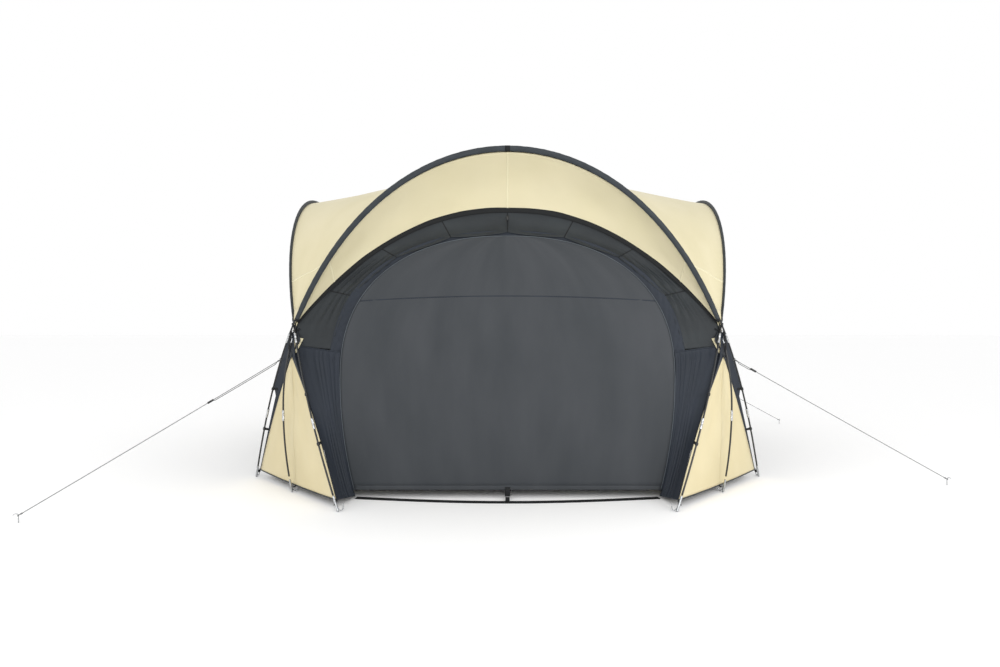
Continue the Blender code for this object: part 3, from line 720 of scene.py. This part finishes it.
def seamLine(rows):
    # the front wall's corner seam at the front left, from the top down, bowed towards the door
    top, foot = np.array(wing["seamTop"]), np.array(wing["seamFoot"])
    part = np.linspace(0, 1, rows)[:, None]
    return top + (foot - top) * part + np.sin(pi * part) * (wing["bow"], 0.0, 0.0)


def wingGrid():
    # ruled from the corner seam to the door's edge; each fold is a bell-shaped ridge along the
    # rows, given by its place, width and height, strongest at the top seam and near the foot
    outer = evenly(np.concatenate(([band["hub"]], seamLine(60) + (0.003, 0, 0))), wing["rows"])
    edge = doorEdge(shape["hemHeight"], band["doorEnd"], band["doorGap"])
    inner = evenly(np.concatenate((edge, [wing["groundCorner"]])), wing["rows"])
    grid = between(outer, inner, wing["columns"])
    part = np.linspace(0, 1, wing["columns"])[None]
    down = np.linspace(0, 1, wing["rows"])[:, None]
    height = -wing["hollow"] * np.sin(pi * part) * np.sin(pi * down) ** 0.5
    for index, (place, width, tall) in enumerate(wing["folds"]):
        drift = place + 0.03 * np.sin(2.2 * down + 1.7 * index)
        strength = 0.35 + 0.65 * np.exp(-(down / (0.10 + 0.04 * (index % 3))) ** 2) \
            + 0.35 * np.exp(-((down - 0.93) / 0.25) ** 2)
        height = height + tall * strength * np.exp(-((part - drift) / width) ** 2)
    fade = np.clip(np.minimum(part, 1 - part) * 14, 0, 1) * np.clip(down * 30, 0, 1)
    return lifted(grid, -height * fade)


def mirrored(grid):
    return grid[:, ::-1] * (-1, 1, 1)


def makeWalls():
    bandPoints = bandGrid()
    wingPoints = wingGrid()
    tip = np.array(band["tip"]).reshape(2, 2, 3)
    tipGrid = between(evenly(tip[:, 0], 7), evenly(tip[:, 1], 7), 7)
    topSeam = wingPoints[0] + (0, -0.002, 0)
    for k, side in enumerate(sides):
        piece = cloth(f"wallBand_{side}", turned(bandPoints, k), finish["band"])
        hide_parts(f"wall_frame_{side}")
        dark = [piece]
        facing = turned((0.0, -1.0, 0.0), k)
        for name, flip in (("Left", False), ("Right", True)):
            grid = mirrored(wingPoints) if flip else wingPoints
            sheet = cloth(f"wallWing{name}_{side}", turned(grid, k), finish["charcoal"])
            handed = (-1, 1, 1) if flip else (1, 1, 1)
            seam = topSeam * handed
            dark += [sheet, strip(f"wingSeam{name}_{side}", turned(seam, k), 0.007,
                                  finish["charcoal"], facing, 0.001)]
            belongs([cloth(f"visorTip{name}_{side}", turned(tipGrid * handed, k), finish["tan"],
                           band["tipThickness"])])
        for index in range(1, band["pieces"]):
            column = round(index / band["pieces"] * (band["columns"] - 1))
            line = bandPoints[:, column] - (0, 0.001, 0)
            dark.append(strip(f"bandSeam_{side}_{index}", turned(line, k), band["seamWidth"],
                              finish["tape"], facing, 0.001))
        belongs(dark)


makeWalls()
print("walls made")


# doors: an arched panel with a seam across it, zip tape round its edge, widened under the band into a
# painted shadow, and a hemmed foot

door = dict(rows=71, columns=101, seamHeight=1.377, seamDrop=0.035, seamWidth=0.007, billow=0.014,
            tapeBehind=0.014, pipingRadius=0.0018,
            # the zip strip's width by height: a real zip tape low down, and above the belly mostly a painted
            # shadow in the gap under the band
            zipAndShadowWidths=((0.055, 0.010), (0.80, 0.010), (0.98, 0.080), (1.35, 0.075), (1.62, 0.045),
                        (1.81, 0.036)),
            tapeWrinkles=((0.0040, 1.6, 46.0, 0.4), (0.0030, -1.1, 71.0, 1.9)), hemWidth=0.03,
            folds=((0.0025, 2.3, 0.4, 0.2), (0.0018, 4.1, -0.7, 1.1), (0.0010, 7.7, 1.1, 0.5)))


def doorGrid():
    # rows from the hem to the top, columns across; the rows crowd towards the rounded top
    part = np.linspace(0, 1, door["rows"])
    z = shape["hemHeight"] + (shape["doorBelly"] + shape["doorRise"] - 0.0006 - shape["hemHeight"]) \
        * np.sin(part * pi / 2) ** 0.9
    half = doorHalfWidth(z)
    u = np.linspace(-1, 1, door["columns"])
    x = half[:, None] * u[None, :]
    zz = np.broadcast_to(z[:, None], x.shape)
    grid = np.stack((x, -wallDepth(zz), zz), axis=-1)
    v = (zz - z[0]) / (z[-1] - z[0])
    fade = (1 - np.abs(u[None]) ** 4) * np.sin(pi * np.clip(v, 0, 1)) ** 0.5
    grid[..., 1] -= (ripple(x / 2.3, v, door["folds"]) + door["billow"]) * fade
    return grid


def outlinePath(spread, count=140):
    # the door's edge from the left hem corner over the top to the right one
    low = np.linspace(shape["hemHeight"], shape["doorBelly"], 30)[:-1]
    angle = np.linspace(0, pi / 2, count // 2)
    power = 2 / shape["doorPower"]
    z = np.concatenate((low, shape["doorBelly"] + shape["doorRise"] * np.sin(angle) ** power))
    x = np.concatenate((doorHalfWidth(low), shape["doorHalf"] * np.cos(angle) ** power))
    x[-1] = 0.0
    left = np.stack((-x, -wallDepth(z), z), axis=-1)
    whole = np.concatenate((left, left[-2::-1] * (-1, 1, 1)))
    tangent = unit(np.gradient(whole, axis=0))
    outward = unit(np.cross(tangent, (0.0, 1.0, 0.0)))
    outward *= np.sign(np.sum(outward * (whole - (0, -1.6, 0.8)), axis=-1, keepdims=True))
    return whole + outward * spread


def onSheet(grid, line):
    # put a line on a sheet that faces the front: read the sheet's depth at each x and z
    depth = []
    for x, _, z in line:
        row = np.argmin(np.abs(grid[:, grid.shape[1] // 2, 2] - z))
        depth.append(np.interp(x, grid[row, :, 0], grid[row, :, 1]))
    return np.stack((line[:, 0], np.array(depth), line[:, 2]), axis=-1)


def makeDoors():
    grid = doorGrid()
    # the zip's strip is wide behind the band, widest at the shoulders, and narrow at the wings; past the zip
    # its dark cloth fills the gap between the band and the door's piping as a painted shadow
    height = outlinePath(0.0)[:, 2]
    upper = np.clip((height - 0.80) / 0.15, 0, 1)
    zipAndShadowWidth = np.interp(height, *zip(*door["zipAndShadowWidths"]))
    zipGrid = between(outlinePath(-0.002), outlinePath(zipAndShadowWidth[:, None]), 13)
    across, along = np.meshgrid(np.linspace(0, 1, 13), np.linspace(0, 1, len(height)))
    slack = (upper * zipAndShadowWidth / 0.08)[:, None] * np.sin(pi * across)      # none at the zip itself
    zipGrid[..., 1] += door["tapeBehind"] * upper[:, None] \
        + ripple(across, along, door["tapeWrinkles"]) * slack
    piping = outlinePath(-0.004)
    piping[:, 1] -= 0.003
    u = np.linspace(-0.992, 0.992, 90)
    seamZ = door["seamHeight"] - door["seamDrop"] * u ** 2
    seamRow = onSheet(grid, np.stack((u * doorHalfWidth(seamZ), 0 * u, seamZ), axis=-1)) - (0, 0.001, 0)
    hem = grid[0] + (0, -0.0015, door["hemWidth"] / 2)
    for k, side in enumerate(sides):
        panel = cloth(f"doorPanel_{side}", turned(grid, k), finish["door"])
        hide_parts(f"door_{side}")
        facing = turned((0.0, -1.0, 0.08), k)
        onDoor = [panel,
                  strip(f"doorSeam_{side}", turned(seamRow, k), door["seamWidth"],
                        finish["charcoal"], facing),
                  strip(f"doorHem_{side}", turned(hem, k), door["hemWidth"], finish["door"], facing),
                  tube(f"doorPiping_{side}", turned(piping, k), door["pipingRadius"],
                       door["pipingRadius"], finish["piping"], up=facing, ringCount=8)]
        # the zip tape's dark cloth, widened into a painted shadow in the gap under the band
        zipTapeAndShadowFill = cloth(f"zipTapeAndShadowFill_{side}", turned(zipGrid, k), finish["charcoal"], 0.0015)
        belongs(onDoor, f"door_{side}")
        belongs([zipTapeAndShadowFill])


makeDoors()
print("doors made")


# corner panels: tan cloth between two corner seams with a seam down the middle, dark piping at
# the hem, a dark flap along each corner seam that is clipped to the leg, and a kite-shaped patch

cornerCloth = dict(rows=61, columns=41, farShift=0.030, farBow=0.010, pipingRadius=0.0045,
                   seamWidth=0.008, hemDip=0.010,
                   flapTop=(-1.517, -1.517, 1.125),
                   flaps=dict(left=((0.055, 0.10), (0.62, 0.20), (0.74, 0.35), (1.13, 0.60)),
                              front=((0.055, 0.14), (0.50, 0.36), (0.66, 0.45), (0.73, 0.94), (1.13, 0.94))),
                   folds=((0.0030, 1.6, 1.1, 0.7), (0.0020, 3.3, -1.9, 0.2), (0.0010, 5.7, 2.3, 1.9)))
patch = dict(bottom=(2.158, 0.932), top=(2.112, 1.155), shoulder=0.62, halfWidth=0.068)
clip = dict(heights=(0.71, 0.40), collarRadius=0.0105, collarLength=0.020, tabWidth=0.018)


def atCorner(points, k):
    # the front left corner's shape at corner k; every other corner is its mirror image
    return turned(np.asarray(points, dtype=float) * ((-1, 1, 1) if k % 2 else (1, 1, 1)), k - k % 2)


def cornerSeams(rows):
    near = seamLine(rows)
    part = np.linspace(0, 1, rows)[:, None]
    top, foot = np.array(wing["seamTop"]), np.array(wing["seamFoot"])[[1, 0, 2]]
    far = top + (foot - top) * part
    far = far - (cornerCloth["farShift"] * part + cornerCloth["farBow"] * np.sin(pi * part)) * (1, 0, 0)
    return near, far


def cornerGrid():
    near, far = cornerSeams(cornerCloth["rows"])
    grid = between(near, far, cornerCloth["columns"])
    u = np.linspace(-1, 1, cornerCloth["columns"])[None]
    v = np.linspace(0, 1, cornerCloth["rows"])[:, None]
    grid[..., 2] -= cornerCloth["hemDip"] * (1 - u ** 2) * v ** 4       # the hem dips at its middle
    fade = (1 - u ** 4) * np.sin(pi * np.clip(v, 0.02, 0.98)) ** 0.5
    return lifted(grid, -ripple(u / 2, v, cornerCloth["folds"]) * fade)


def patchGrid():
    # a kite: its width grows to the shoulder and falls to a point at both ends
    share = np.linspace(0, 1, 13)
    width = np.interp(share, (0, patch["shoulder"], 1), (0.06, 1.0, 0.06)) * patch["halfWidth"]
    reach = patch["bottom"][0] + (patch["top"][0] - patch["bottom"][0]) * share
    height = patch["bottom"][1] + (patch["top"][1] - patch["bottom"][1]) * share
    across = np.linspace(-1, 1, 9)[None] * width[:, None]
    out = reach[:, None] - 0.02 * (across / patch["halfWidth"]) ** 2
    return np.stack(((-out + across) / np.sqrt(2), (-out - across) / np.sqrt(2),
                     np.broadcast_to(height[:, None], across.shape)), axis=-1)


def flapGrid(seam, side, shift):
    # from the corner seam part of the way to the leg beside it; the share depends on the height
    seam = evenly(np.concatenate(([cornerCloth["flapTop"]], seam)), len(seam))
    leg = rodLeg(seam[:, 2], side, shift)
    share = np.interp(seam[:, 2], *zip(*cornerCloth["flaps"][side]))
    return between(seam, seam + (leg - seam) * share[:, None], 5)


def makeClips(corner, k, flap, side, shift):
    out = []
    for index, z in enumerate(clip["heights"]):
        levels = np.array((z - 0.01, z, z + 0.01))
        line = rodLeg(levels, side, shift)
        along = unit(line[2] - line[0])
        steps = np.linspace(-0.5, 0.5, 5)[:, None] * clip["collarLength"]
        radius = clip["collarRadius"] * np.array((0.86, 1.0, 1.0, 1.0, 0.86))
        collar = tube(f"clip_{corner}_{side}_{index}", atCorner(line[1] + along * steps, k), radius,
                      radius, finish["plastic"], ringCount=14)
        row = np.argmin(np.abs(flap[:, -1, 2] - z))
        start = line[1] + unit(flap[row, -1] - line[1]) * 0.008
        tabPath = atCorner(evenly(np.stack((start, flap[row, 2])), 6), k)
        tab = strip(f"clipTab_{corner}_{side}_{index}", tabPath, clip["tabWidth"], finish["web"],
                    atCorner(np.cross(along, unit(flap[row, -1] - line[1])), k), 0.003)
        out += [collar, tab]
    return out


def makeCorners():
    grid = cornerGrid()
    hem = grid[-1]
    near, far = cornerSeams(60)
    flaps = {"left": (flapGrid(near, "left", 1), 1), "front": (flapGrid(far, "front", 0), 0)}
    outward = unit(np.array((-1.0, -1.0, 0.25)))
    kite = patchGrid()
    for k, corner in enumerate(corners):
        away = atCorner(outward, k)
        panel = cloth(f"cornerPanel_{corner}", atCorner(grid, k), finish["tanCorner"])
        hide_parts(f"corner_panel_{corner}")
        middle = grid[4:, cornerCloth["columns"] // 2] + outward * 0.001
        seam = strip(f"cornerSeam_{corner}", atCorner(middle, k), cornerCloth["seamWidth"],
                     finish["tanCorner"], away)
        edge = tube(f"cornerPiping_{corner}", atCorner(hem, k), cornerCloth["pipingRadius"],
                    cornerCloth["pipingRadius"], finish["sleeve"], up=away)
        reinforce = cloth(f"hubPatch_{corner}", atCorner(kite, k), finish["patch"], 0.003)
        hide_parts(f"hub_patch_{corner}")
        belongs([panel, seam])
        belongs([edge, reinforce])
        for side, (flap, shift) in flaps.items():
            belongs([cloth(f"cornerFlap_{corner}_{side}", atCorner(flap, k), finish["charcoal"], 0.0015)])
            belongs(makeClips(corner, k, flap, side, shift))


makeCorners()
print("corner panels made")


# sleeves on the arches and ridge poles, and the tape on the visor's edge

sleeve = dict(halfWidth=0.009, halfDepth=0.0185, inwards=0.0105, endHeight=1.19, ridgeEnd=1.30,
              edgeWidth=0.044, mouthLength=0.035, joinLength=0.05,
              puckers=((0.0004, 41.0, 0, 0.3), (0.0003, 67.0, 0, 1.9), (0.0002, 103.0, 0, 0.8)))
hub = dict(height=1.180, wrapRadius=0.010, wrapInward=0.010, cordRadius=0.0030, wrapTilts=(-0.6, 0.6),
           strapWidths=(0.012, 0.008, 0.008, 0.016),
           straps=(((-1.500, -1.520, 1.185), (-1.515, -1.530, 1.130), (-1.522, -1.534, 1.060)),
                   ((-1.462, -1.512, 1.150), (-1.500, -1.522, 1.128), (-1.530, -1.532, 1.095)),
                   ((-1.512, -1.462, 1.150), (-1.522, -1.500, 1.128), (-1.532, -1.530, 1.095)),
                   ((-1.525, -1.525, 1.120), (-1.532, -1.532, 1.030), (-1.530, -1.530, 0.950))),
           tipRim=((-1.462, -1.518, 1.290), (-1.500, -1.512, 1.170), (-1.508, -1.508, 1.060)))


def outwardFrom(path, centre=(0.0, 0.0, 0.7)):
    return unit(path - np.asarray(centre))


def sleeveTube(name, path, up):
    # a flattened tube in the pole's own plane, with the pole near its outer edge
    part = np.linspace(0, 1, len(path))
    pucker = ripple(part, 0 * part, sleeve["puckers"])
    mouth = 1 - 0.2 * np.exp(-(part / 0.02) ** 2) - 0.2 * np.exp(-((1 - part) / 0.02) ** 2)
    return tube(name, path - up * sleeve["inwards"], sleeve["halfWidth"] + 0.4 * pucker,
                (sleeve["halfDepth"] + pucker) * mouth, finish["sleeve"], up=up, ringCount=16)


def makeSleeves():
    x = np.linspace(-1.480, 1.480, 140)
    edge = np.stack((x, np.full(len(x), -shape["wallSetBack"] - 0.004), edgeHeight(x)), axis=-1)
    edgeWide = sleeve["edgeWidth"] * (1 - 0.45 * np.abs(x / 1.48) ** 6)
    archMiddle = (0.0, -archDepth(0.9), 0.9)
    arch = archPath(0)
    arch = arch[arch[:, 2] > sleeve["endHeight"]]
    mouths = (lengthsAlong(arch) < sleeve["mouthLength"],
              lengthsAlong(arch[::-1])[::-1] < sleeve["mouthLength"])
    for k, side in enumerate(sides):
        path = archPath(k)
        path = path[path[:, 2] > sleeve["endHeight"]]
        up = turned(outwardFrom(path, archMiddle), k)
        path = turned(path, k)
        piece = sleeveTube(f"archSleeve_{side}", path, up)
        black = [strip(f"visorEdge_{side}", turned(edge, k), edgeWide, finish["tape"],
                       turned((0.0, -1.0, -0.15), k), 0.002)]
        for name, near in zip(("left", "right"), mouths):
            black.append(tube(f"sleeveMouth_{side}_{name}", path[near] - up[near] * sleeve["inwards"],
                              sleeve["halfWidth"] + 0.002, sleeve["halfDepth"] * 0.86, finish["tape"],
                              up=up[near], ringCount=16))
        crown = np.abs(lengthsAlong(path) - lengthsAlong(path)[-1] / 2) < sleeve["joinLength"] / 2
        black.append(tube(f"sleeveJoin_{side}", path[crown] - up[crown] * sleeve["inwards"],
                          sleeve["halfWidth"] + 0.002, sleeve["halfDepth"] + 0.001, finish["tape"],
                          up=up[crown], ringCount=16))
        belongs([piece])
        belongs(black)
    for step, name in enumerate(("upper", "lower")):
        path = ridgePath(step)
        path = path[path[:, 2] > sleeve["ridgeEnd"]]
        piece = sleeveTube(f"ridgeSleeve_{name}", path, outwardFrom(path))
        belongs([piece])


makeSleeves()
print("sleeves made")


# hubs: a cord wrapped round the crossing poles, and straps from it to the sleeves' mouths, the
# visor's edge and the patch

def makeHubs():
    cross = rodLeg(np.array(hub["height"]), "front", 0)
    cross = (cross + cross[[1, 0, 2]]) / 2
    inward = unit(np.array((1.0, 1.0, 0.0)))
    sideways = unit(np.array((1.0, -1.0, 0.0)))
    upright = np.array((0.0, 0.0, 1.0))
    angle = np.linspace(0, 2 * pi, 29)[:-1, None]
    radius = hub["wrapRadius"]
    wraps = []
    for tilt in hub["wrapTilts"]:
        axisA = unit(sideways * np.cos(tilt) + upright * np.sin(tilt))
        wraps.append(cross + inward * hub["wrapInward"] + radius * 1.5 * np.cos(angle) * axisA
                     + radius * np.sin(angle) * inward)
    rim = np.array(hub["tipRim"])
    tongue = between(evenly(rim, 9), evenly(rim[:, [1, 0, 2]], 9), 7)
    for k, corner in enumerate(corners):
        belongs([cloth(f"roofTip_{corner}", atCorner(tongue, k), finish["tan"], 0.0015)])
        made = [ringOf(f"hubWrap_{corner}_{index}", atCorner(loop, k), hub["cordRadius"], finish["web"])
                for index, loop in enumerate(wraps)]
        made += [strip(f"hubStrap_{corner}_{index}", atCorner(smoothPath(route, 12), k),
                       hub["strapWidths"][index], finish["web"], atCorner(-inward, k), 0.002)
                 for index, route in enumerate(hub["straps"])]
        belongs(made)


makeHubs()
print("hubs made")


# poles: black rods with ferrules on the bare legs, steel ends with wire hooks

pole = dict(radius=0.006, ferruleLength=0.075, ferruleHeights=(0.515, 1.070),
            barrel=((0.0, 0.0062), (0.004, 0.0075), (0.05, 0.0075), (0.78, 0.0075), (0.80, 0.0069),
                    (0.84, 0.0069), (0.86, 0.0075), (0.97, 0.0075), (1.0, 0.0066)),
            ferrule=((-0.5, 0.0064), (-0.49, 0.0082), (-0.46, 0.0086), (-0.08, 0.0086),
                     (-0.06, 0.0078), (0.06, 0.0078), (0.08, 0.0086), (0.46, 0.0086),
                     (0.49, 0.0082), (0.5, 0.0064)),
            hookRadius=0.0033, hookStart=0.030,
            hook=((0.0, 0.0), (0.010, -0.010), (0.020, -0.020), (0.030, -0.0235),
                  (0.040, -0.016), (0.043, 0.0), (0.043, 0.022)))


def turnedPart(name, base, along, profile, length, material, ringCount=18):
    # a profile of (share of the length, radius) turned about a straight axis
    share, radius = np.array(profile).T
    return tube(name, base + along * (share * length)[:, None], radius, radius, material,
                ringCount=ringCount)


def ferrules(name, path):
    out = []
    for end in (0, 1):
        half = path if end == 0 else path[::-1]
        for index, z in enumerate(pole["ferruleHeights"]):
            here = np.argmax(half[:, 2] > z)
            along = unit(half[here + 1] - half[here - 1])
            out.append(turnedPart(f"ferrule_{name}_{end}_{index}", half[here], along,
                                  pole["ferrule"], pole["ferruleLength"], finish["ferrule"]))
    return out


def inwardOf(base):
    # the level direction from a foot towards its own wall, or from a ridge foot to the middle
    x, y = base[0], base[1]
    if abs(abs(x) - abs(y)) < 0.1:
        return unit(np.array((-x, -y, 0.0)))
    return np.array((0.0, -np.sign(y), 0.0)) if abs(x) > abs(y) else np.array((-np.sign(x), 0.0, 0.0))


def footPieces(name, path):
    # the steel end, crimped round the rod at its top, and its J-shaped wire
    base, after = path[0], path[2]
    along = unit(after - base)
    top = shape["footHeight"] / along[2]
    barrel = turnedPart(f"poleEnd_{name}", base + (0, 0, 0.0006), along, pole["barrel"], top,
                        finish["steel"], 20)
    start = base + along * pole["hookStart"] / along[2]
    inward = inwardOf(base)
    reach, rise = np.array(pole["hook"]).T
    wire = start + inward * reach[:, None] + np.array((0, 0, 1.0)) * rise[:, None]
    hook = tube(f"poleHook_{name}", smoothPath(wire, 30), pole["hookRadius"], pole["hookRadius"],
                finish["steel"], up=np.cross(inward, (0, 0, 1.0)), ringCount=12)
    return barrel, hook


def makePole(node, path, feet):
    rod = path[path[:, 2] > shape["footHeight"] - 0.004]
    bar = tube(f"rod_{node}", rod, pole["radius"], pole["radius"], finish["pole"],
               up=outwardFrom(rod), ringCount=14)
    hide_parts(node)
    belongs([bar])
    belongs(ferrules(node, path))
    for foot, half in zip(feet, (path, path[::-1])):
        barrel, hook = footPieces(foot, half)
        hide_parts(foot)
        belongs((barrel, hook))


for index, sideName in enumerate(sides):
    makePole(f"arch_pole_{sideName}", turned(archPath(index), index),
             (f"foot_{sideName}_arch_left", f"foot_{sideName}_arch_right"))
makePole("ridge_pole_upper", ridgePath(0), ("foot_ridge_front_left", "foot_ridge_back_right"))
makePole("ridge_pole_lower", ridgePath(1), ("foot_ridge_front_right", "foot_ridge_back_left"))
print("poles made")


# ground straps: flat webbing past the door from one wall corner to the other, met in the middle
# by the two halves of a tab to the door's hem; webbing tabs tie the corner seams to the feet

strap = dict(reach=1.030, setOut=0.155, bow=0.100, width=0.050, thickness=0.002, level=0.0013,
             tabWidth=0.036, footTab=0.020)


def makeStraps():
    x = np.linspace(-strap["reach"], strap["reach"], 90)
    y = -(shape["wallSetBack"] + strap["setOut"] + strap["bow"] * np.cos(x / strap["reach"] * pi / 2))
    path = np.stack((x, y, np.full(len(x), strap["level"])), axis=-1)
    front = y.min()
    hemY = -wallDepth(shape["hemHeight"]) - 0.004
    tab = smoothPath(((0, hemY, 0.075), (0, hemY - 0.006, 0.050), (0, (hemY + front) / 2, 0.026)), 9)
    lower = smoothPath(((0, (hemY + front) / 2 - 0.004, 0.022), (0, front + 0.020, 0.010),
                        (0, front + 0.004, 0.006)), 9)
    for k, side in enumerate(sides):
        piece = strip(f"groundStrap_{side}", turned(path, k), strap["width"], finish["web"],
                      (0.0, 0.0, 1.0), strap["thickness"])
        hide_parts(f"ground_strap_{side}")
        facing = turned((0.0, -0.7, 0.7), k)
        upper = strip(f"buckleTabDoor_{side}", turned(tab, k), strap["tabWidth"], finish["web"],
                      facing, 0.002)
        under = strip(f"buckleTab_{side}", turned(lower, k), strap["tabWidth"] * 0.8, finish["web"],
                      facing, 0.002)
        belongs([upper], f"door_{side}")
        belongs((piece, under))
    seam, out = np.array(wing["seamFoot"]), []
    for k, corner in enumerate(corners):
        foot = rodLeg(np.array(0.045), "left", 1)
        route = np.stack((seam + (0, 0, 0.004), (seam + foot) / 2 + (0, 0, -0.008), foot + (-0.009, 0, 0)))
        swapped = route[:, [1, 0, 2]] - np.array((cornerCloth["farShift"], 0, 0)) * ((1,), (0.4,), (0,))
        ridge = np.array(((-1.490, -1.490, 0.046), (-1.505, -1.505, 0.034), (-1.519, -1.519, 0.040)))
        for name, line in (("near", route), ("far", swapped), ("ridge", ridge)):
            out.append(strip(f"footTab_{corner}_{name}", atCorner(smoothPath(line, 9), k),
                             strap["footTab"], finish["web"], atCorner((-0.7, -0.7, 0.3), k), 0.002))
    belongs(out)


makeStraps()
print("straps made")


# a toggle and its loop at the middle of each band, where the rolled-up door is tied

toggle = dict(drop=0.020, height=1.925, halfLength=0.015, radius=0.010, loopRadius=0.0028,
              loop=((0.0, 0.004, -0.012), (0.004, 0.008, -0.040), (-0.002, 0.012, -0.075)))


def makeToggles():
    top = np.array((0.0, -shape["wallSetBack"] - toggle["drop"], toggle["height"]))
    reach = np.linspace(-toggle["halfLength"], toggle["halfLength"], 9)[:, None]
    bar = top + reach * np.array((0.25, 0.0, 1.0))
    bulge = toggle["radius"] * np.sin(np.linspace(0.6, pi - 0.6, 9)) ** 0.5
    loop = smoothPath(top + np.array(toggle["loop"]), 10)
    for k, side in enumerate(sides):
        belongs([tube(f"toggle_{side}", turned(bar, k), bulge, bulge, finish["plastic"],
                      ringCount=14)])
        belongs([tube(f"toggleLoop_{side}", turned(loop, k), toggle["loopRadius"],
                      toggle["loopRadius"], finish["tape"], ringCount=8)])


makeToggles()
print("toggles made")


# the pegs and sliders keep their CAD shapes and take a fine finish

for nodeName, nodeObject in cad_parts.items():
    if nodeName.startswith(("peg_", "tensioner_")):
        nodeObject.data.materials.clear()
        nodeObject.data.materials.append(finish["steel" if nodeName.startswith("peg_") else "plastic"])


# floor, backdrop light and lamps

studio = dict(floorHex="#FDFDFD", floorSize=60.0, worldStrength=1.0,
              lamps=(("key", (3.0, -4.2, 1.7), 1.6, 34), ("fill", (-4.5, -6.0, 3.5), 4.0, 50),
                     ("front", (0.5, -7.5, 3.2), 4.0, 110)))


def makeStudio():
    size = studio["floorSize"]
    floor = bpy.data.objects.new("floor", bpy.data.meshes.new("floor"))
    floor.data.from_pydata([(-size, -size, -0.001), (size, -size, -0.001), (size, size, -0.001),
                            (-size, size, -0.001)], [], [(0, 1, 2, 3)])
    material, _, shader = newMaterial("mattPaintFloor")
    shader.inputs["Base Color"].default_value = toLinear(studio["floorHex"])
    shader.inputs["Roughness"].default_value = 0.9
    floor.data.materials.append(material)
    bpy.context.scene.collection.objects.link(floor)
    world = bpy.data.worlds.new("studio")
    world.use_nodes = True
    backdrop = world.node_tree.nodes["Background"]
    backdrop.inputs["Color"].default_value = (1, 1, 1, 1)
    backdrop.inputs["Strength"].default_value = studio["worldStrength"]
    bpy.context.scene.world = world
    bpy.context.scene.view_settings.view_transform = "Standard"
    for name, place, width, watts in studio["lamps"]:
        lamp = bpy.data.lights.new(name, "AREA")
        lamp.energy = watts
        lamp.size = width
        light = bpy.data.objects.new(name, lamp)
        light.location = place
        light.rotation_euler = (Vector((0, 0, 1)) - Vector(place)).to_track_quat("-Z", "Y").to_euler()
        bpy.context.scene.collection.objects.link(light)


makeStudio()
print("studio made")
